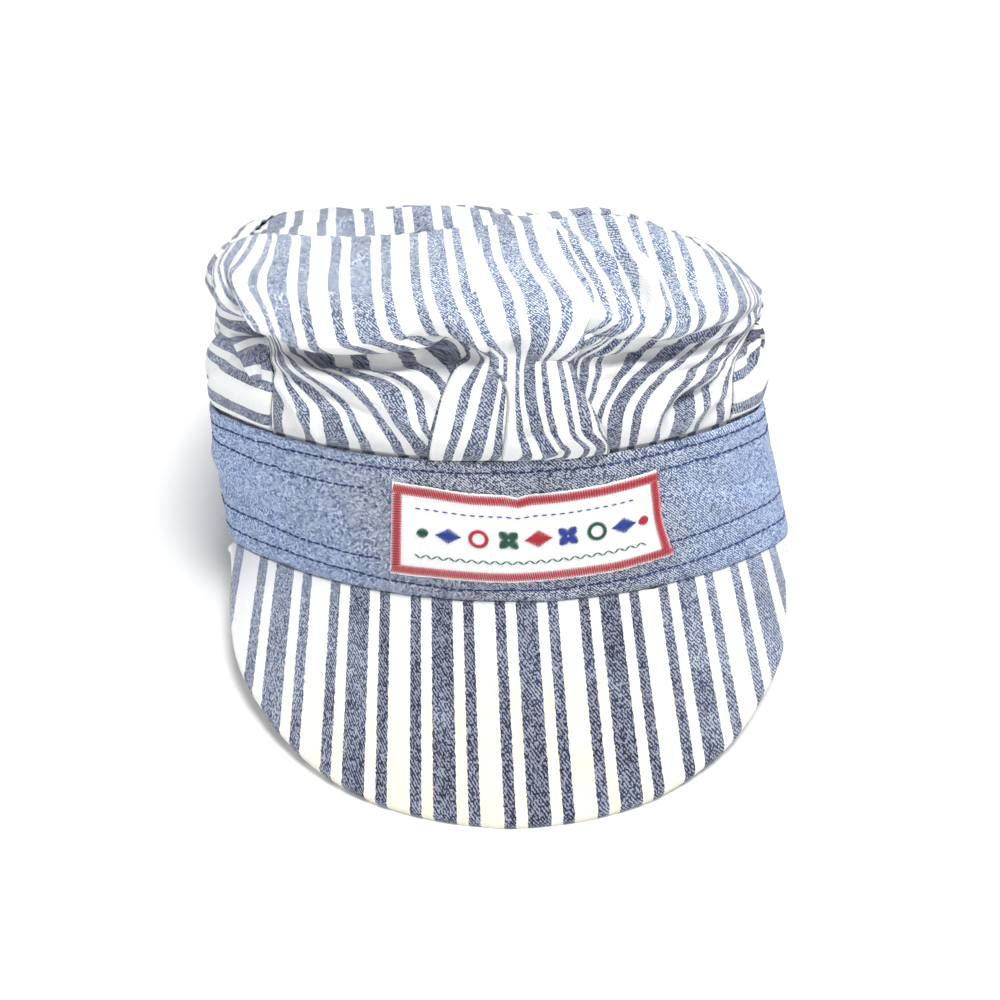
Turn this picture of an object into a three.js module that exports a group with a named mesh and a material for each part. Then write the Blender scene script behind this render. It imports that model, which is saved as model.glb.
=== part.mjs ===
// Railroad engineer cap: striped cotton crown with a pleated front, chambray headband, stiff peak.
// Units are millimetres. The peak points along -Y, the crown rises along +Z, the origin is the
// middle of the footprint on the surface that the cap rests on.
import * as THREE from 'three';

// Headband, a strip of doubled chambray closed into a ring
const BAND_HEIGHT = 46;
const BAND_WALL = 1.6;
const BAND_HALF_WIDTH = 93;
const FRONT_RADIUS = 130;
const CORNER_RADIUS = 16;
const SIDE_RUN = 35;
const BACK_DEPTH = 88;
const BAND_LEAN = 7;
const BAND_TAPER = 6;

// Peak, a stiff curved board covered in cloth
const VISOR_HALF_WIDTH = 90;
const VISOR_LENGTH = 66.8;
const VISOR_CORNER = 1.6;
const VISOR_SLOPE = THREE.MathUtils.degToRad(28.6);
const VISOR_THICKNESS = 3;
const VISOR_EDGE_ROW = 2.6;

// Crown, three panels of thin striped cotton
const CROWN_RISE = 51;
const CROWN_WALL = 1.2;
const CROWN_TUCK = 5;
const PLEAT_RAISE = 2.4;
const TOP_CENTRE_SAG = 7;

// Woven label sewn to the front of the headband
const PATCH_WIDTH = 81;
const PATCH_HEIGHT = 27;
const PATCH_THICKNESS = 1;
const PATCH_OFFSET = 4;
const PATCH_RISE = 9;

// Air between cloth faces that touch, and how far the resting cloth is pressed flat
const SEAM_GAP = 0.3;
const TUCK_GAP = 0.6;
const REST_FLATTENING = 1.2;

// How the pleat and the folds start and fade, in rings, how wide the pleat's step is, in degrees, and
// the share of the way to the top's middle by which its humps are full
const PLEAT_FADE_FROM = 2.4;
const PLEAT_FADE_TO = 3.9;
const PLEAT_RISE_RINGS = 0.7;
const PLEAT_STEP_OUT = 0.7;
const PLEAT_STEP_IN = 0.3;
const FOLD_RISE_RINGS = 0.8;
const INSET_RINGS = 2;
const TOP_RIM_SHARE = 0.12;

// Peak outline: its length from the headband, as a share of the middle's, along half of its root
const VISOR_OUTLINE = [
  { along: 0.0, length: 1.0 },
  { along: 0.15, length: 0.975 },
  { along: 0.3, length: 0.91 },
  { along: 0.45, length: 0.79 },
  { along: 0.6, length: 0.62 },
  { along: 0.72, length: 0.46 },
  { along: 0.82, length: 0.28 },
  { along: 0.91, length: 0.125 },
  { along: 1.0, length: 0.0 },
];

// Soft swellings of the headband. at is degrees round, wide degrees to where it fades, out a share
// of the headband's half width.
const BAND_FOLDS = [
  { name: 'left swelling', at: -82, wide: 26, out: 0.04 },
  { name: 'back left dent', at: -128, wide: 18, out: -0.02 },
  { name: 'back right swelling', at: 140, wide: 24, out: 0.02 },
];

// Rings of the crown from inside the headband up to the top seam. front and back are shares of
// the headband's depth, left and right of its half width. round goes from the headband's outline
// to an oval of the given squareness.
const RING_PLANS = [
  { name: 'edge', inset: 1, round: 0, square: 2.4, front: 0, back: 1, left: 0.93, right: 0.93 },
  { name: 'low', inset: -0.2, round: 0.2, square: 2.4, front: 0.021, back: 1.009, left: 0.945, right: 0.95 },
  { name: 'mid', inset: 0, round: 0.5, square: 2.4, front: 0.044, back: 1.018, left: 0.95, right: 0.965 },
  { name: 'crease', inset: 0, round: 0.75, square: 2.5, front: 0.058, back: 1.006, left: 0.95, right: 0.96 },
  { name: 'belly', inset: 0, round: 0.9, square: 2.5, front: 0.037, back: 1.009, left: 0.96, right: 0.97 },
  { name: 'shoulder', inset: 0, round: 1, square: 2.6, front: 0.084, back: 0.994, left: 0.955, right: 0.955 },
  { name: 'slope', inset: 0, round: 1, square: 2.8, front: 0.228, back: 0.964, left: 0.925, right: 0.9 },
  { name: 'seam', inset: 0, round: 1, square: 3.1, front: 0.371, back: 0.922, left: 0.86, right: 0.835 },
];

// Heights of the same rings, as shares of the crown's rise, at stops round the crown
const RING_HEIGHTS = [
  { name: 'edge', front: 0, frontLeft: 0, left: 0, back: 0, right: 0, frontRight: 0 },
  { name: 'low', front: 0.2, frontLeft: 0.2, left: 0.17, back: 0.15, right: 0.14, frontRight: 0.2 },
  { name: 'mid', front: 0.39, frontLeft: 0.36, left: 0.34, back: 0.3, right: 0.27, frontRight: 0.36 },
  { name: 'crease', front: 0.55, frontLeft: 0.49, left: 0.48, back: 0.4, right: 0.37, frontRight: 0.51 },
  { name: 'belly', front: 0.69, frontLeft: 0.64, left: 0.59, back: 0.48, right: 0.44, frontRight: 0.66 },
  { name: 'shoulder', front: 0.83, frontLeft: 0.8, left: 0.675, back: 0.54, right: 0.49, frontRight: 0.79 },
  { name: 'slope', front: 0.94, frontLeft: 0.88, left: 0.725, back: 0.58, right: 0.535, frontRight: 0.91 },
  { name: 'seam', front: 1, frontLeft: 0.9, left: 0.745, back: 0.6, right: 0.575, frontRight: 0.96 },
];
const HEIGHT_STOPS = [
  { at: -180, column: 'back' },
  { at: -90, column: 'left' },
  { at: -55, column: 'frontLeft' },
  { at: 0, column: 'front' },
  { at: 42, column: 'frontRight' },
  { at: 90, column: 'right' },
  { at: 180, column: 'back' },
];

// Where the seams and the pleat's edges cross the same rings, in degrees round the ring: 0 at the
// front, -90 at the wearer's right side
const RING_SEAMS = [
  { name: 'edge', seamLeft: -44.5, pleatLeft: -10.2, pleatRight: 23.7, seamRight: 52.5 },
  { name: 'low', seamLeft: -41.5, pleatLeft: -8.5, pleatRight: 20, seamRight: 50.5 },
  { name: 'mid', seamLeft: -41.5, pleatLeft: -6.3, pleatRight: 16.5, seamRight: 52 },
  { name: 'crease', seamLeft: -46, pleatLeft: -3.5, pleatRight: 15.5, seamRight: 58.5 },
  { name: 'belly', seamLeft: -58, pleatLeft: -3, pleatRight: 18, seamRight: 65 },
  { name: 'shoulder', seamLeft: -67, pleatLeft: -2.5, pleatRight: 22, seamRight: 69 },
  { name: 'slope', seamLeft: -69, pleatLeft: -2, pleatRight: 22, seamRight: 71 },
  { name: 'seam', seamLeft: -70, pleatLeft: -2, pleatRight: 22, seamRight: 72 },
];

// Folds and dents of the crown. at is degrees round, ring counts up the rings from 0 at the
// headband's edge, wide is degrees and tall rings to where the fold fades, slant is degrees for
// each ring, out and up are shares of the crown's rise.
const CROWN_FOLDS = [
  { name: 'left crease', at: -30, ring: 3, wide: 19, tall: 0.55, slant: 0, out: -0.11, up: -0.04 },
  { name: 'left belly', at: -30, ring: 4.1, wide: 20, tall: 0.8, slant: 0, out: 0.03, up: -0.07 },
  { name: 'left pinch', at: -50, ring: 3.3, wide: 7, tall: 0.8, slant: -6, out: -0.1, up: 0.02 },
  { name: 'pleat hollow', at: -8, ring: 2.9, wide: 5, tall: 0.7, slant: 3, out: -0.08, up: 0 },
  { name: 'right crease', at: 36, ring: 3, wide: 21, tall: 0.55, slant: 0, out: -0.11, up: 0 },
  { name: 'right belly', at: 34, ring: 4, wide: 16, tall: 0.7, slant: 0, out: 0.03, up: -0.03 },
  { name: 'right ridge', at: 28, ring: 5.8, wide: 4, tall: 1.1, slant: -9, out: 0.03, up: 0.04 },
  { name: 'right crumple', at: 74, ring: 2.4, wide: 6, tall: 1.2, slant: 0, out: -0.09, up: 0 },
  { name: 'left side fold', at: -72, ring: 2.6, wide: 10, tall: 0.7, slant: -8, out: -0.05, up: 0 },
  { name: 'back left fold', at: -135, ring: 3, wide: 22, tall: 0.9, slant: 10, out: -0.06, up: 0 },
  { name: 'back fold', at: 178, ring: 2.6, wide: 26, tall: 0.8, slant: 0, out: -0.05, up: 0 },
  { name: 'back right fold', at: 128, ring: 3.1, wide: 20, tall: 0.9, slant: -10, out: -0.06, up: 0 },
];

// Soft humps and hollows of the crown's top. at is degrees round, inward the share of the way
// from its seam to its middle, up a share of the crown's rise.
const TOP_FOLDS = [
  { name: 'front puff', at: -32, inward: 0.25, wide: 42, deep: 0.22, up: 0.12 },
  { name: 'middle hollow', at: 15, inward: 0.55, wide: 60, deep: 0.3, up: -0.06 },
  { name: 'back hump', at: -160, inward: 0.4, wide: 45, deep: 0.3, up: 0.05 },
];

// Numbers of stations in each mesh
const BAND_COLUMNS = 112;
const BAND_ROWS = 4;
const SIDE_COLUMNS = 24;
const FLAP_COLUMNS = 11;
const PLEAT_COLUMNS = 7;
const CROWN_ROWS = 22;
const TOP_ROWS = 6;
const VISOR_COLUMNS = 32;
const VISOR_ROWS = 7;
const PATCH_COLUMNS = 14;
const PATCH_ROWS = 3;

// How a panel's stations are placed: degrees from a pleat's edge to the nearest one, the power
// that crowds a side panel's towards its front, and the rings of the tuck inside the headband
const PLEAT_EDGE_HALF = 0.5;
const SIDE_CROWDING = 1.5;
const TUCK_RINGS = [-1, -0.35];
const OUTLINE_DIVISIONS = 48;

// Steps for finding which way a surface faces, in degrees, rings and shares
const ANGLE_STEP = 0.5;
const RING_STEP = 0.06;
const SHARE_STEP = 0.01;

const HALF_TURN = 180;
const REACH_ROUNDS = 30;
const BUMP_SHARPNESS = 2.5;

const { degToRad, radToDeg, lerp, clamp, smoothstep, euclideanModulo } = THREE.MathUtils;

// Plan of the headband: curved front, tight corners, straight sides, rounded back
const CORNER_CENTRE_X = BAND_HALF_WIDTH - CORNER_RADIUS;
const FRONT_HALF_ANGLE = Math.asin(CORNER_CENTRE_X / (FRONT_RADIUS - CORNER_RADIUS));
const FRONT_DEPTH = FRONT_RADIUS * (1 - Math.cos(FRONT_HALF_ANGLE));
const CORNER_CENTRE_Y = FRONT_DEPTH + CORNER_RADIUS * Math.cos(FRONT_HALF_ANGLE);
const BACK_CENTRE_Y = CORNER_CENTRE_Y + SIDE_RUN;
const BAND_DEPTH = BACK_CENTRE_Y + BACK_DEPTH;
const BAND_MIDDLE = BAND_DEPTH / 2;

function bandOutline() {
  const outline = new THREE.Path();
  const front = -Math.PI / 2;
  outline.absarc(0, FRONT_RADIUS, FRONT_RADIUS, front, front + FRONT_HALF_ANGLE, false);
  outline.absarc(CORNER_CENTRE_X, CORNER_CENTRE_Y, CORNER_RADIUS, front + FRONT_HALF_ANGLE, 0, false);
  outline.lineTo(BAND_HALF_WIDTH, BACK_CENTRE_Y);
  outline.absellipse(0, BACK_CENTRE_Y, BAND_HALF_WIDTH, BACK_DEPTH, 0, Math.PI / 2, false, 0);
  return outline.getPoints(OUTLINE_DIVISIONS);
}

const HALF_OUTLINE = bandOutline();

// Distance from the point (0, middle) to the outline, narrowed to a share of its width
function outlineRadius(turn, middle, narrow) {
  const across = Math.abs(Math.sin(turn));
  const forward = -Math.cos(turn);
  for (let i = 1; i < HALF_OUTLINE.length; i += 1) {
    const a = HALF_OUTLINE[i - 1];
    const b = HALF_OUTLINE[i];
    const sideA = a.x * narrow * forward - (a.y - middle) * across;
    const sideB = b.x * narrow * forward - (b.y - middle) * across;
    if (sideA >= 0 && sideB < 0) {
      const share = sideA / (sideA - sideB);
      const x = lerp(a.x, b.x, share) * narrow;
      const y = lerp(a.y, b.y, share) - middle;
      return Math.hypot(x, y);
    }
  }
  return forward < 0 ? middle : BAND_DEPTH - middle;
}

const TOP_NARROW = 1 - BAND_TAPER / BAND_HALF_WIDTH;

function bandPoint(angle, share, inset) {
  const turn = degToRad(angle);
  const narrow = lerp(1, TOP_NARROW, share);
  let radius = outlineRadius(turn, BAND_MIDDLE, narrow) - inset;
  for (const fold of BAND_FOLDS) {
    const aside = degreesApart(angle, fold.at) / fold.wide;
    radius += fold.out * BAND_HALF_WIDTH * bump(aside) * Math.sin(Math.PI * clamp(share, 0, 1)) ** 2;
  }
  const x = radius * Math.sin(turn) - BAND_LEAN * share;
  return new THREE.Vector3(x, BAND_MIDDLE - radius * Math.cos(turn), BAND_HEIGHT * share);
}

// A bump that is 1 in its middle and fades to 0 smoothly
function bump(distance) {
  return Math.exp(-BUMP_SHARPNESS * distance * distance);
}

function degreesApart(a, b) {
  return euclideanModulo(a - b + HALF_TURN, 2 * HALF_TURN) - HALF_TURN;
}

// Smooth curves through the columns of a table of rings, by column name
function ringCurves(table) {
  const columns = Object.keys(table[0]).filter((column) => column !== 'name');
  return Object.fromEntries(columns.map((column) => {
    const points = table.map((ring) => new THREE.Vector2(ring[column], 0));
    return [column, new THREE.SplineCurve(points)];
  }));
}

const PLAN_CURVES = ringCurves(RING_PLANS);
const HEIGHT_CURVES = ringCurves(RING_HEIGHTS);
const SEAM_CURVES = ringCurves(RING_SEAMS);
const LAST_RING = RING_PLANS.length - 1;

function ringValue(curve, ring) {
  return curve.getPoint(clamp(ring / LAST_RING, 0, 1)).x;
}

function seamAngle(column, ring) {
  return ringValue(SEAM_CURVES[column], Math.max(ring, 0));
}

function ringHeight(angle, ring) {
  const at = degreesApart(angle, 0);
  let low = 0;
  while (low < HEIGHT_STOPS.length - 2 && HEIGHT_STOPS[low + 1].at <= at) {
    low += 1;
  }
  const from = HEIGHT_STOPS[low];
  const to = HEIGHT_STOPS[low + 1];
  const share = smoothstep(at, from.at, to.at);
  return lerp(ringValue(HEIGHT_CURVES[from.column], ring), ringValue(HEIGHT_CURVES[to.column], ring), share);
}

// Raised middle pleat of the front, full height at the headband and gone above the crease
function pleatRaise(angle, ring) {
  const left = seamAngle('pleatLeft', ring);
  const right = seamAngle('pleatRight', ring);
  const fade = 1 - smoothstep(ring, PLEAT_FADE_FROM, PLEAT_FADE_TO);
  const rise = smoothstep(ring, 0, PLEAT_RISE_RINGS);
  const inLeft = smoothstep(angle, left - PLEAT_STEP_OUT, left + PLEAT_STEP_IN);
  const inRight = smoothstep(angle, right - PLEAT_STEP_IN, right + PLEAT_STEP_OUT);
  return PLEAT_RAISE * fade * rise * inLeft * (1 - inRight);
}

// Outer face of the crown's wall; rings below 0 are the cloth tucked inside the headband
function crownPoint(angle, ring) {
  const turn = degToRad(angle);
  const upper = Math.max(ring, 0);
  const tuck = Math.max(-ring, 0);
  const plan = (column) => ringValue(PLAN_CURVES[column], upper);
  const front = plan('front') * BAND_DEPTH;
  const back = plan('back') * BAND_DEPTH;
  const middle = (front + back) / 2;
  const halfWidth = BAND_HALF_WIDTH * plan(turn < 0 ? 'left' : 'right');
  const square = plan('square');
  const across = Math.abs(Math.sin(turn) / halfWidth) ** square;
  const along = Math.abs(Math.cos(turn) / ((back - front) / 2)) ** square;
  const oval = (across + along) ** (-1 / square);
  const banded = outlineRadius(turn, middle, TOP_NARROW);
  let radius = lerp(banded, oval, clamp(plan('round'), 0, 1));
  let height = BAND_HEIGHT + CROWN_RISE * ringHeight(angle, upper) - tuck * CROWN_TUCK;
  for (const fold of CROWN_FOLDS) {
    const climbed = upper - fold.ring;
    const aside = degreesApart(angle, fold.at + fold.slant * climbed) / fold.wide;
    const strength = bump(Math.hypot(aside, climbed / fold.tall)) * smoothstep(upper, 0, FOLD_RISE_RINGS);
    radius += fold.out * CROWN_RISE * strength;
    height += fold.up * CROWN_RISE * strength;
  }
  radius += pleatRaise(angle, upper);
  const leaned = BAND_LEAN * (1 - tuck * CROWN_TUCK / BAND_HEIGHT);
  const point = new THREE.Vector3(radius * Math.sin(turn) - leaned, middle - radius * Math.cos(turn), height);
  const inset = plan('inset') * (BAND_WALL + TUCK_GAP);
  return upper < INSET_RINGS ? point.addScaledVector(bandFacing(angle, 1), -inset) : point;
}

// Crown top: from just inside the top seam, share 0, to its middle, share 1
const TOP_MIDDLE = crownTopMiddle();

function crownTopMiddle() {
  const front = crownPoint(0, LAST_RING);
  const back = crownPoint(HALF_TURN, LAST_RING);
  const left = crownPoint(-90, LAST_RING);
  const right = crownPoint(90, LAST_RING);
  const middle = new THREE.Vector3((left.x + right.x) / 2, (front.y + back.y) / 2, 0);
  middle.z = (front.z + back.z + left.z + right.z) / 4 + TOP_CENTRE_SAG;
  return middle;
}

function topPoint(angle, share) {
  const rim = crownPoint(angle, LAST_RING);
  const reach = Math.hypot(rim.x - TOP_MIDDLE.x, rim.y - TOP_MIDDLE.y);
  const inward = Math.min(1, SEAM_GAP / reach + share);
  const point = new THREE.Vector3().lerpVectors(rim, TOP_MIDDLE, inward);
  point.z = lerp(rim.z, TOP_MIDDLE.z, smoothstep(inward, 0, 1));
  for (const fold of TOP_FOLDS) {
    const aside = degreesApart(angle, fold.at) / fold.wide * (1 - share);
    const strength = bump(Math.hypot(aside, (share - fold.inward) / fold.deep));
    point.z += fold.up * CROWN_RISE * strength * smoothstep(share, 0, TOP_RIM_SHARE);
  }
  return point;
}

// Direction shared by the wall and the top where they meet, so that both are cut to one mitre
function topSeamFacing(angle) {
  const wall = facing(crownPoint, angle, LAST_RING - RING_STEP, ANGLE_STEP, RING_STEP);
  const top = facing(topPoint, angle, 2 * SHARE_STEP, ANGLE_STEP, SHARE_STEP);
  return wall.add(top).normalize();
}

// Peak: a flat root under the headband, then straight lines down a cone
const VISOR_POINTS = VISOR_OUTLINE.map((row) => new THREE.Vector2(row.along, row.length));
const VISOR_CURVE = new THREE.SplineCurve(VISOR_POINTS);

function visorReach(along) {
  let low = 0;
  let high = 1;
  for (let i = 0; i < REACH_ROUNDS; i += 1) {
    const t = (low + high) / 2;
    if (VISOR_CURVE.getPoint(t).x < Math.abs(along)) {
      low = t;
    } else {
      high = t;
    }
  }
  return lerp(VISOR_CORNER, VISOR_LENGTH, clamp(VISOR_CURVE.getPoint(low).y, 0, 1));
}

function visorPoint(along, out) {
  const turn = along * Math.asin(VISOR_HALF_WIDTH / FRONT_RADIUS);
  const slid = Math.max(out, 0);
  const radius = FRONT_RADIUS + Math.min(out, 0) + slid * Math.cos(VISOR_SLOPE);
  const drop = SEAM_GAP + slid * Math.sin(VISOR_SLOPE);
  return new THREE.Vector3(radius * Math.sin(turn), FRONT_RADIUS - radius * Math.cos(turn), -drop);
}

// How the cap stands: on the peak's tip and the back of the headband, its front raised
const VISOR_UNDER = new THREE.Vector3(0, Math.sin(VISOR_SLOPE), -Math.cos(VISOR_SLOPE));
const TIP = visorPoint(0, VISOR_LENGTH).addScaledVector(VISOR_UNDER, VISOR_THICKNESS);
const REST_TILT = Math.atan2(-TIP.z, BAND_DEPTH - TIP.y);

function placed(point) {
  const cos = Math.cos(REST_TILT);
  const sin = Math.sin(REST_TILT);
  const back = point.y - BAND_DEPTH;
  const z = back * -sin + point.z * cos - REST_FLATTENING;
  return new THREE.Vector3(point.x, back * cos + point.z * sin, Math.max(z, 0));
}

// Outward direction of a surface given by two numbers, from points a small step to each side
function facing(surface, a, b, stepA, stepB) {
  const right = surface(a + stepA, b).sub(surface(a - stepA, b));
  const up = surface(a, b + stepB).sub(surface(a, b - stepB));
  return right.cross(up).normalize();
}

// Closed cloth wall from a grid of points on its outer face. Rows run up, columns to the right.
// facings holds the outward directions where neighbouring panels have to agree on them.
function clothGeometry(grid, wall, { ring = false, pole = false, facings = null } = {}) {
  const rows = grid.length;
  const columns = grid[0].length;
  const outer = grid.flat();
  if (pole) {
    outer.length -= columns - 1;
  }
  const index = (row, column) => {
    if (pole && row === rows - 1) {
      return (rows - 1) * columns;
    }
    return row * columns + (ring ? column % columns : column);
  };
  const faces = [];
  const spans = ring ? columns : columns - 1;
  for (let row = 0; row < rows - 1; row += 1) {
    for (let column = 0; column < spans; column += 1) {
      const a = index(row, column);
      const b = index(row, column + 1);
      const c = index(row + 1, column + 1);
      const d = index(row + 1, column);
      faces.push([a, b, c]);
      if (c !== d) {
        faces.push([a, c, d]);
      }
    }
  }
  const normals = facings ? facings.flat() : outer.map(() => new THREE.Vector3());
  if (!facings) {
    for (const [a, b, c] of faces) {
      const normal = new THREE.Triangle(outer[a], outer[b], outer[c]).getNormal(new THREE.Vector3());
      for (const corner of [a, b, c]) {
        normals[corner].add(normal);
      }
    }
  }
  const inner = outer.map((point, i) => point.clone().addScaledVector(normals[i].normalize(), -wall));
  const count = outer.length;
  const all = faces.concat(faces.map(([a, b, c]) => [c + count, b + count, a + count]));
  const lastRow = rows - 1;
  const closeEdge = (a, b) => all.push([a, b, b + count], [a, b + count, a + count]);
  for (let column = 0; column < spans; column += 1) {
    closeEdge(index(0, column + 1), index(0, column));
    if (!pole) {
      closeEdge(index(lastRow, column), index(lastRow, column + 1));
    }
  }
  if (!ring) {
    for (let row = 0; row < lastRow; row += 1) {
      closeEdge(index(row, 0), index(row + 1, 0));
      const low = index(row, columns - 1);
      const high = index(row + 1, columns - 1);
      all.push([high, low, high + count], [low, low + count, high + count]);
    }
  }
  const geometry = new THREE.BufferGeometry();
  const points = outer.concat(inner).map(placed);
  geometry.setAttribute('position', new THREE.Float32BufferAttribute(points.flatMap((p) => p.toArray()), 3));
  geometry.setIndex(all.flat());
  geometry.computeVertexNormals();
  return geometry;
}

function spread(count, from, to) {
  return Array.from({ length: count }, (_, i) => lerp(from, to, i / (count - 1)));
}

// Rows of a crown panel: the tuck inside the headband, then evenly up the rings
function crownRings() {
  return [...TUCK_RINGS, ...spread(CROWN_ROWS, 0, LAST_RING)];
}

// Angle that lies half a seam gap away from a seam, measured square to the seam as it climbs
function gapAngle(seamAt, ring) {
  const angle = seamAt(ring);
  const above = ring + RING_STEP;
  const below = ring - RING_STEP;
  const along = crownPoint(seamAt(above), above).sub(crownPoint(seamAt(below), below)).normalize();
  const across = crownPoint(angle + ANGLE_STEP, ring).sub(crownPoint(angle - ANGLE_STEP, ring));
  return SEAM_GAP / 2 / across.divideScalar(2 * ANGLE_STEP).cross(along).length();
}

// A crown panel from a list of angles for each ring, from seam to seam. Facings are taken on the
// seams themselves, so neighbouring panels stay parallel there.
function crownPanel(anglesAt) {
  const rings = crownRings();
  const grid = rings.map((ring) => {
    const angles = anglesAt(ring);
    angles[0] += gapAngle((at) => anglesAt(at)[0], ring);
    angles[angles.length - 1] -= gapAngle((at) => anglesAt(at).pop(), ring);
    return angles.map((angle) => crownPoint(angle, ring));
  });
  const facings = rings.map((ring) => anglesAt(ring).map((angle) => {
    if (ring === LAST_RING) {
      return topSeamFacing(angle);
    }
    return facing(crownPoint, angle, ring, ANGLE_STEP, RING_STEP);
  }));
  return clothGeometry(grid, CROWN_WALL, { facings });
}

function frontAngles(ring) {
  const left = seamAngle('pleatLeft', ring);
  const right = seamAngle('pleatRight', ring);
  return [
    ...spread(FLAP_COLUMNS, seamAngle('seamLeft', ring), left - PLEAT_EDGE_HALF),
    ...spread(PLEAT_COLUMNS, left + PLEAT_EDGE_HALF, right - PLEAT_EDGE_HALF),
    ...spread(FLAP_COLUMNS, right + PLEAT_EDGE_HALF, seamAngle('seamRight', ring)),
  ];
}

// A side panel's stations stand closer together near the front, where the ring turns its corner
function sideShares() {
  return spread(SIDE_COLUMNS, 0, 1).map((share) => share ** SIDE_CROWDING);
}

function leftAngles(ring) {
  return sideShares().reverse().map((share) => lerp(seamAngle('seamLeft', ring), -HALF_TURN, share));
}

function rightAngles(ring) {
  return sideShares().map((share) => lerp(seamAngle('seamRight', ring), HALF_TURN, share));
}

// The top's rim has the panels' own stations, so that its edge runs parallel to theirs
function crownTop() {
  const right = rightAngles(LAST_RING).slice(1, -1);
  const angles = [...leftAngles(LAST_RING), ...frontAngles(LAST_RING).slice(1), ...right];
  const shares = spread(TOP_ROWS, 0, 1);
  const grid = shares.map((share) => angles.map((angle) => topPoint(angle, share)));
  const facings = shares.map((share) => angles.map((angle) => {
    if (share === 0) {
      return topSeamFacing(angle);
    }
    const beforeMiddle = Math.min(share, 1 - 2 * SHARE_STEP);
    return facing(topPoint, angle, beforeMiddle, ANGLE_STEP, SHARE_STEP);
  }));
  return clothGeometry(grid, CROWN_WALL, { ring: true, pole: true, facings });
}

// Level outward direction of the headband, so that its edges stay level too
function bandFacing(angle, share) {
  const middle = clamp(share, SHARE_STEP, 1 - SHARE_STEP);
  const surface = (a, b) => bandPoint(a, b, 0);
  return facing(surface, angle, middle, ANGLE_STEP, SHARE_STEP).setZ(0).normalize();
}

function headband() {
  const angles = spread(BAND_COLUMNS + 1, -HALF_TURN, HALF_TURN).slice(0, -1);
  const shares = spread(BAND_ROWS, 0, 1);
  const grid = shares.map((share) => angles.map((angle) => bandPoint(angle, share, 0)));
  const facings = shares.map((share) => angles.map((angle) => bandFacing(angle, share)));
  return clothGeometry(grid, BAND_WALL, { ring: true, facings });
}

function visor() {
  const shares = [...spread(VISOR_ROWS, 0, 1 - VISOR_EDGE_ROW / VISOR_LENGTH), 1].reverse();
  const alongs = spread(VISOR_COLUMNS, -1, 1);
  const grid = shares.map((share) => alongs.map((along) => visorPoint(along, share * visorReach(along))));
  grid.push(alongs.map((along) => visorPoint(along, -BAND_WALL)));
  return clothGeometry(grid, VISOR_THICKNESS);
}

function patch() {
  const middle = radToDeg(Math.asin(PATCH_OFFSET / FRONT_RADIUS)) * FRONT_RADIUS / BAND_MIDDLE;
  const half = radToDeg(PATCH_WIDTH / 2 / BAND_MIDDLE);
  const angles = spread(PATCH_COLUMNS, middle - half, middle + half);
  const low = PATCH_RISE / BAND_HEIGHT;
  const high = (PATCH_RISE + PATCH_HEIGHT) / BAND_HEIGHT;
  const shares = spread(PATCH_ROWS, low, high);
  const inset = -(SEAM_GAP + PATCH_THICKNESS);
  const grid = shares.map((share) => angles.map((angle) => bandPoint(angle, share, inset)));
  return clothGeometry(grid, PATCH_THICKNESS);
}

function cloth(colour, roughness) {
  return new THREE.MeshStandardMaterial({ color: colour, roughness, metalness: 0 });
}

const STRIPED = cloth('#b9c3db', 0.9);
const CHAMBRAY = cloth('#7f9bc8', 0.9);
const LABEL = cloth('#f1eeee', 0.8);

const pieces = [
  ['visor', visor(), STRIPED],
  ['headband', headband(), CHAMBRAY],
  ['label_patch', patch(), LABEL],
  ['crown_front', crownPanel(frontAngles), STRIPED],
  ['crown_side_left', crownPanel(leftAngles), STRIPED],
  ['crown_side_right', crownPanel(rightAngles), STRIPED],
  ['crown_top', crownTop(), STRIPED],
];

// Origin at the middle of the footprint
const cap = new THREE.Group();
const body = new THREE.Group();
for (const [name, geometry, material] of pieces) {
  const mesh = new THREE.Mesh(geometry, material);
  mesh.name = name;
  body.add(mesh);
}
const footprint = new THREE.Box3().setFromObject(body);
const centre = footprint.getCenter(new THREE.Vector3());
body.position.set(-centre.x, -centre.y, 0);
cap.add(body);
cap.updateMatrixWorld(true);

export default cap;
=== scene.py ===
"""Railroad engineer cap: striped cotton crown with a pleated front, chambray headband, stiff peak.

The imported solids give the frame. Each cloth part is modelled again here at a fine grain, in the
same place, from the same sizes: first as a form in millimetres, with the headband's own plane as
its ground, and then laid down as the cap rests on its peak and its heel.
"""
import logging
import math
from dataclasses import dataclass
from enum import Enum
from typing import Callable, Iterable, NamedTuple, Optional, Sequence

import bpy
import numpy as np
from mathutils import Matrix, Vector, noise


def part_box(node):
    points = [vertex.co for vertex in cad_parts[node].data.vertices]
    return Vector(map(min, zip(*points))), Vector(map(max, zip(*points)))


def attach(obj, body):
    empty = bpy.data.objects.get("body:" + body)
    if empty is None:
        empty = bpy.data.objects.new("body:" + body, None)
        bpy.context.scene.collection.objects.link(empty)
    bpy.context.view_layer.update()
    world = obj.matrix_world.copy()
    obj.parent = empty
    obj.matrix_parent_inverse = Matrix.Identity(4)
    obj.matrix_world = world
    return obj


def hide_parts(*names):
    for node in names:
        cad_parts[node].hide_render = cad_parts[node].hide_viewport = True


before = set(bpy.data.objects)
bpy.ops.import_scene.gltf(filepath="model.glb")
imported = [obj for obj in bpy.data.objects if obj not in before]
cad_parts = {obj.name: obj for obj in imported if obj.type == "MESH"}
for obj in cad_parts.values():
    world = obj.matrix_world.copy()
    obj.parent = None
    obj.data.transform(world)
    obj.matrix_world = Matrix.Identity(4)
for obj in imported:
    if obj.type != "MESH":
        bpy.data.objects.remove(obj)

logging.basicConfig(level=logging.INFO, format="%(message)s")
log = logging.getLogger("cap")

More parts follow.
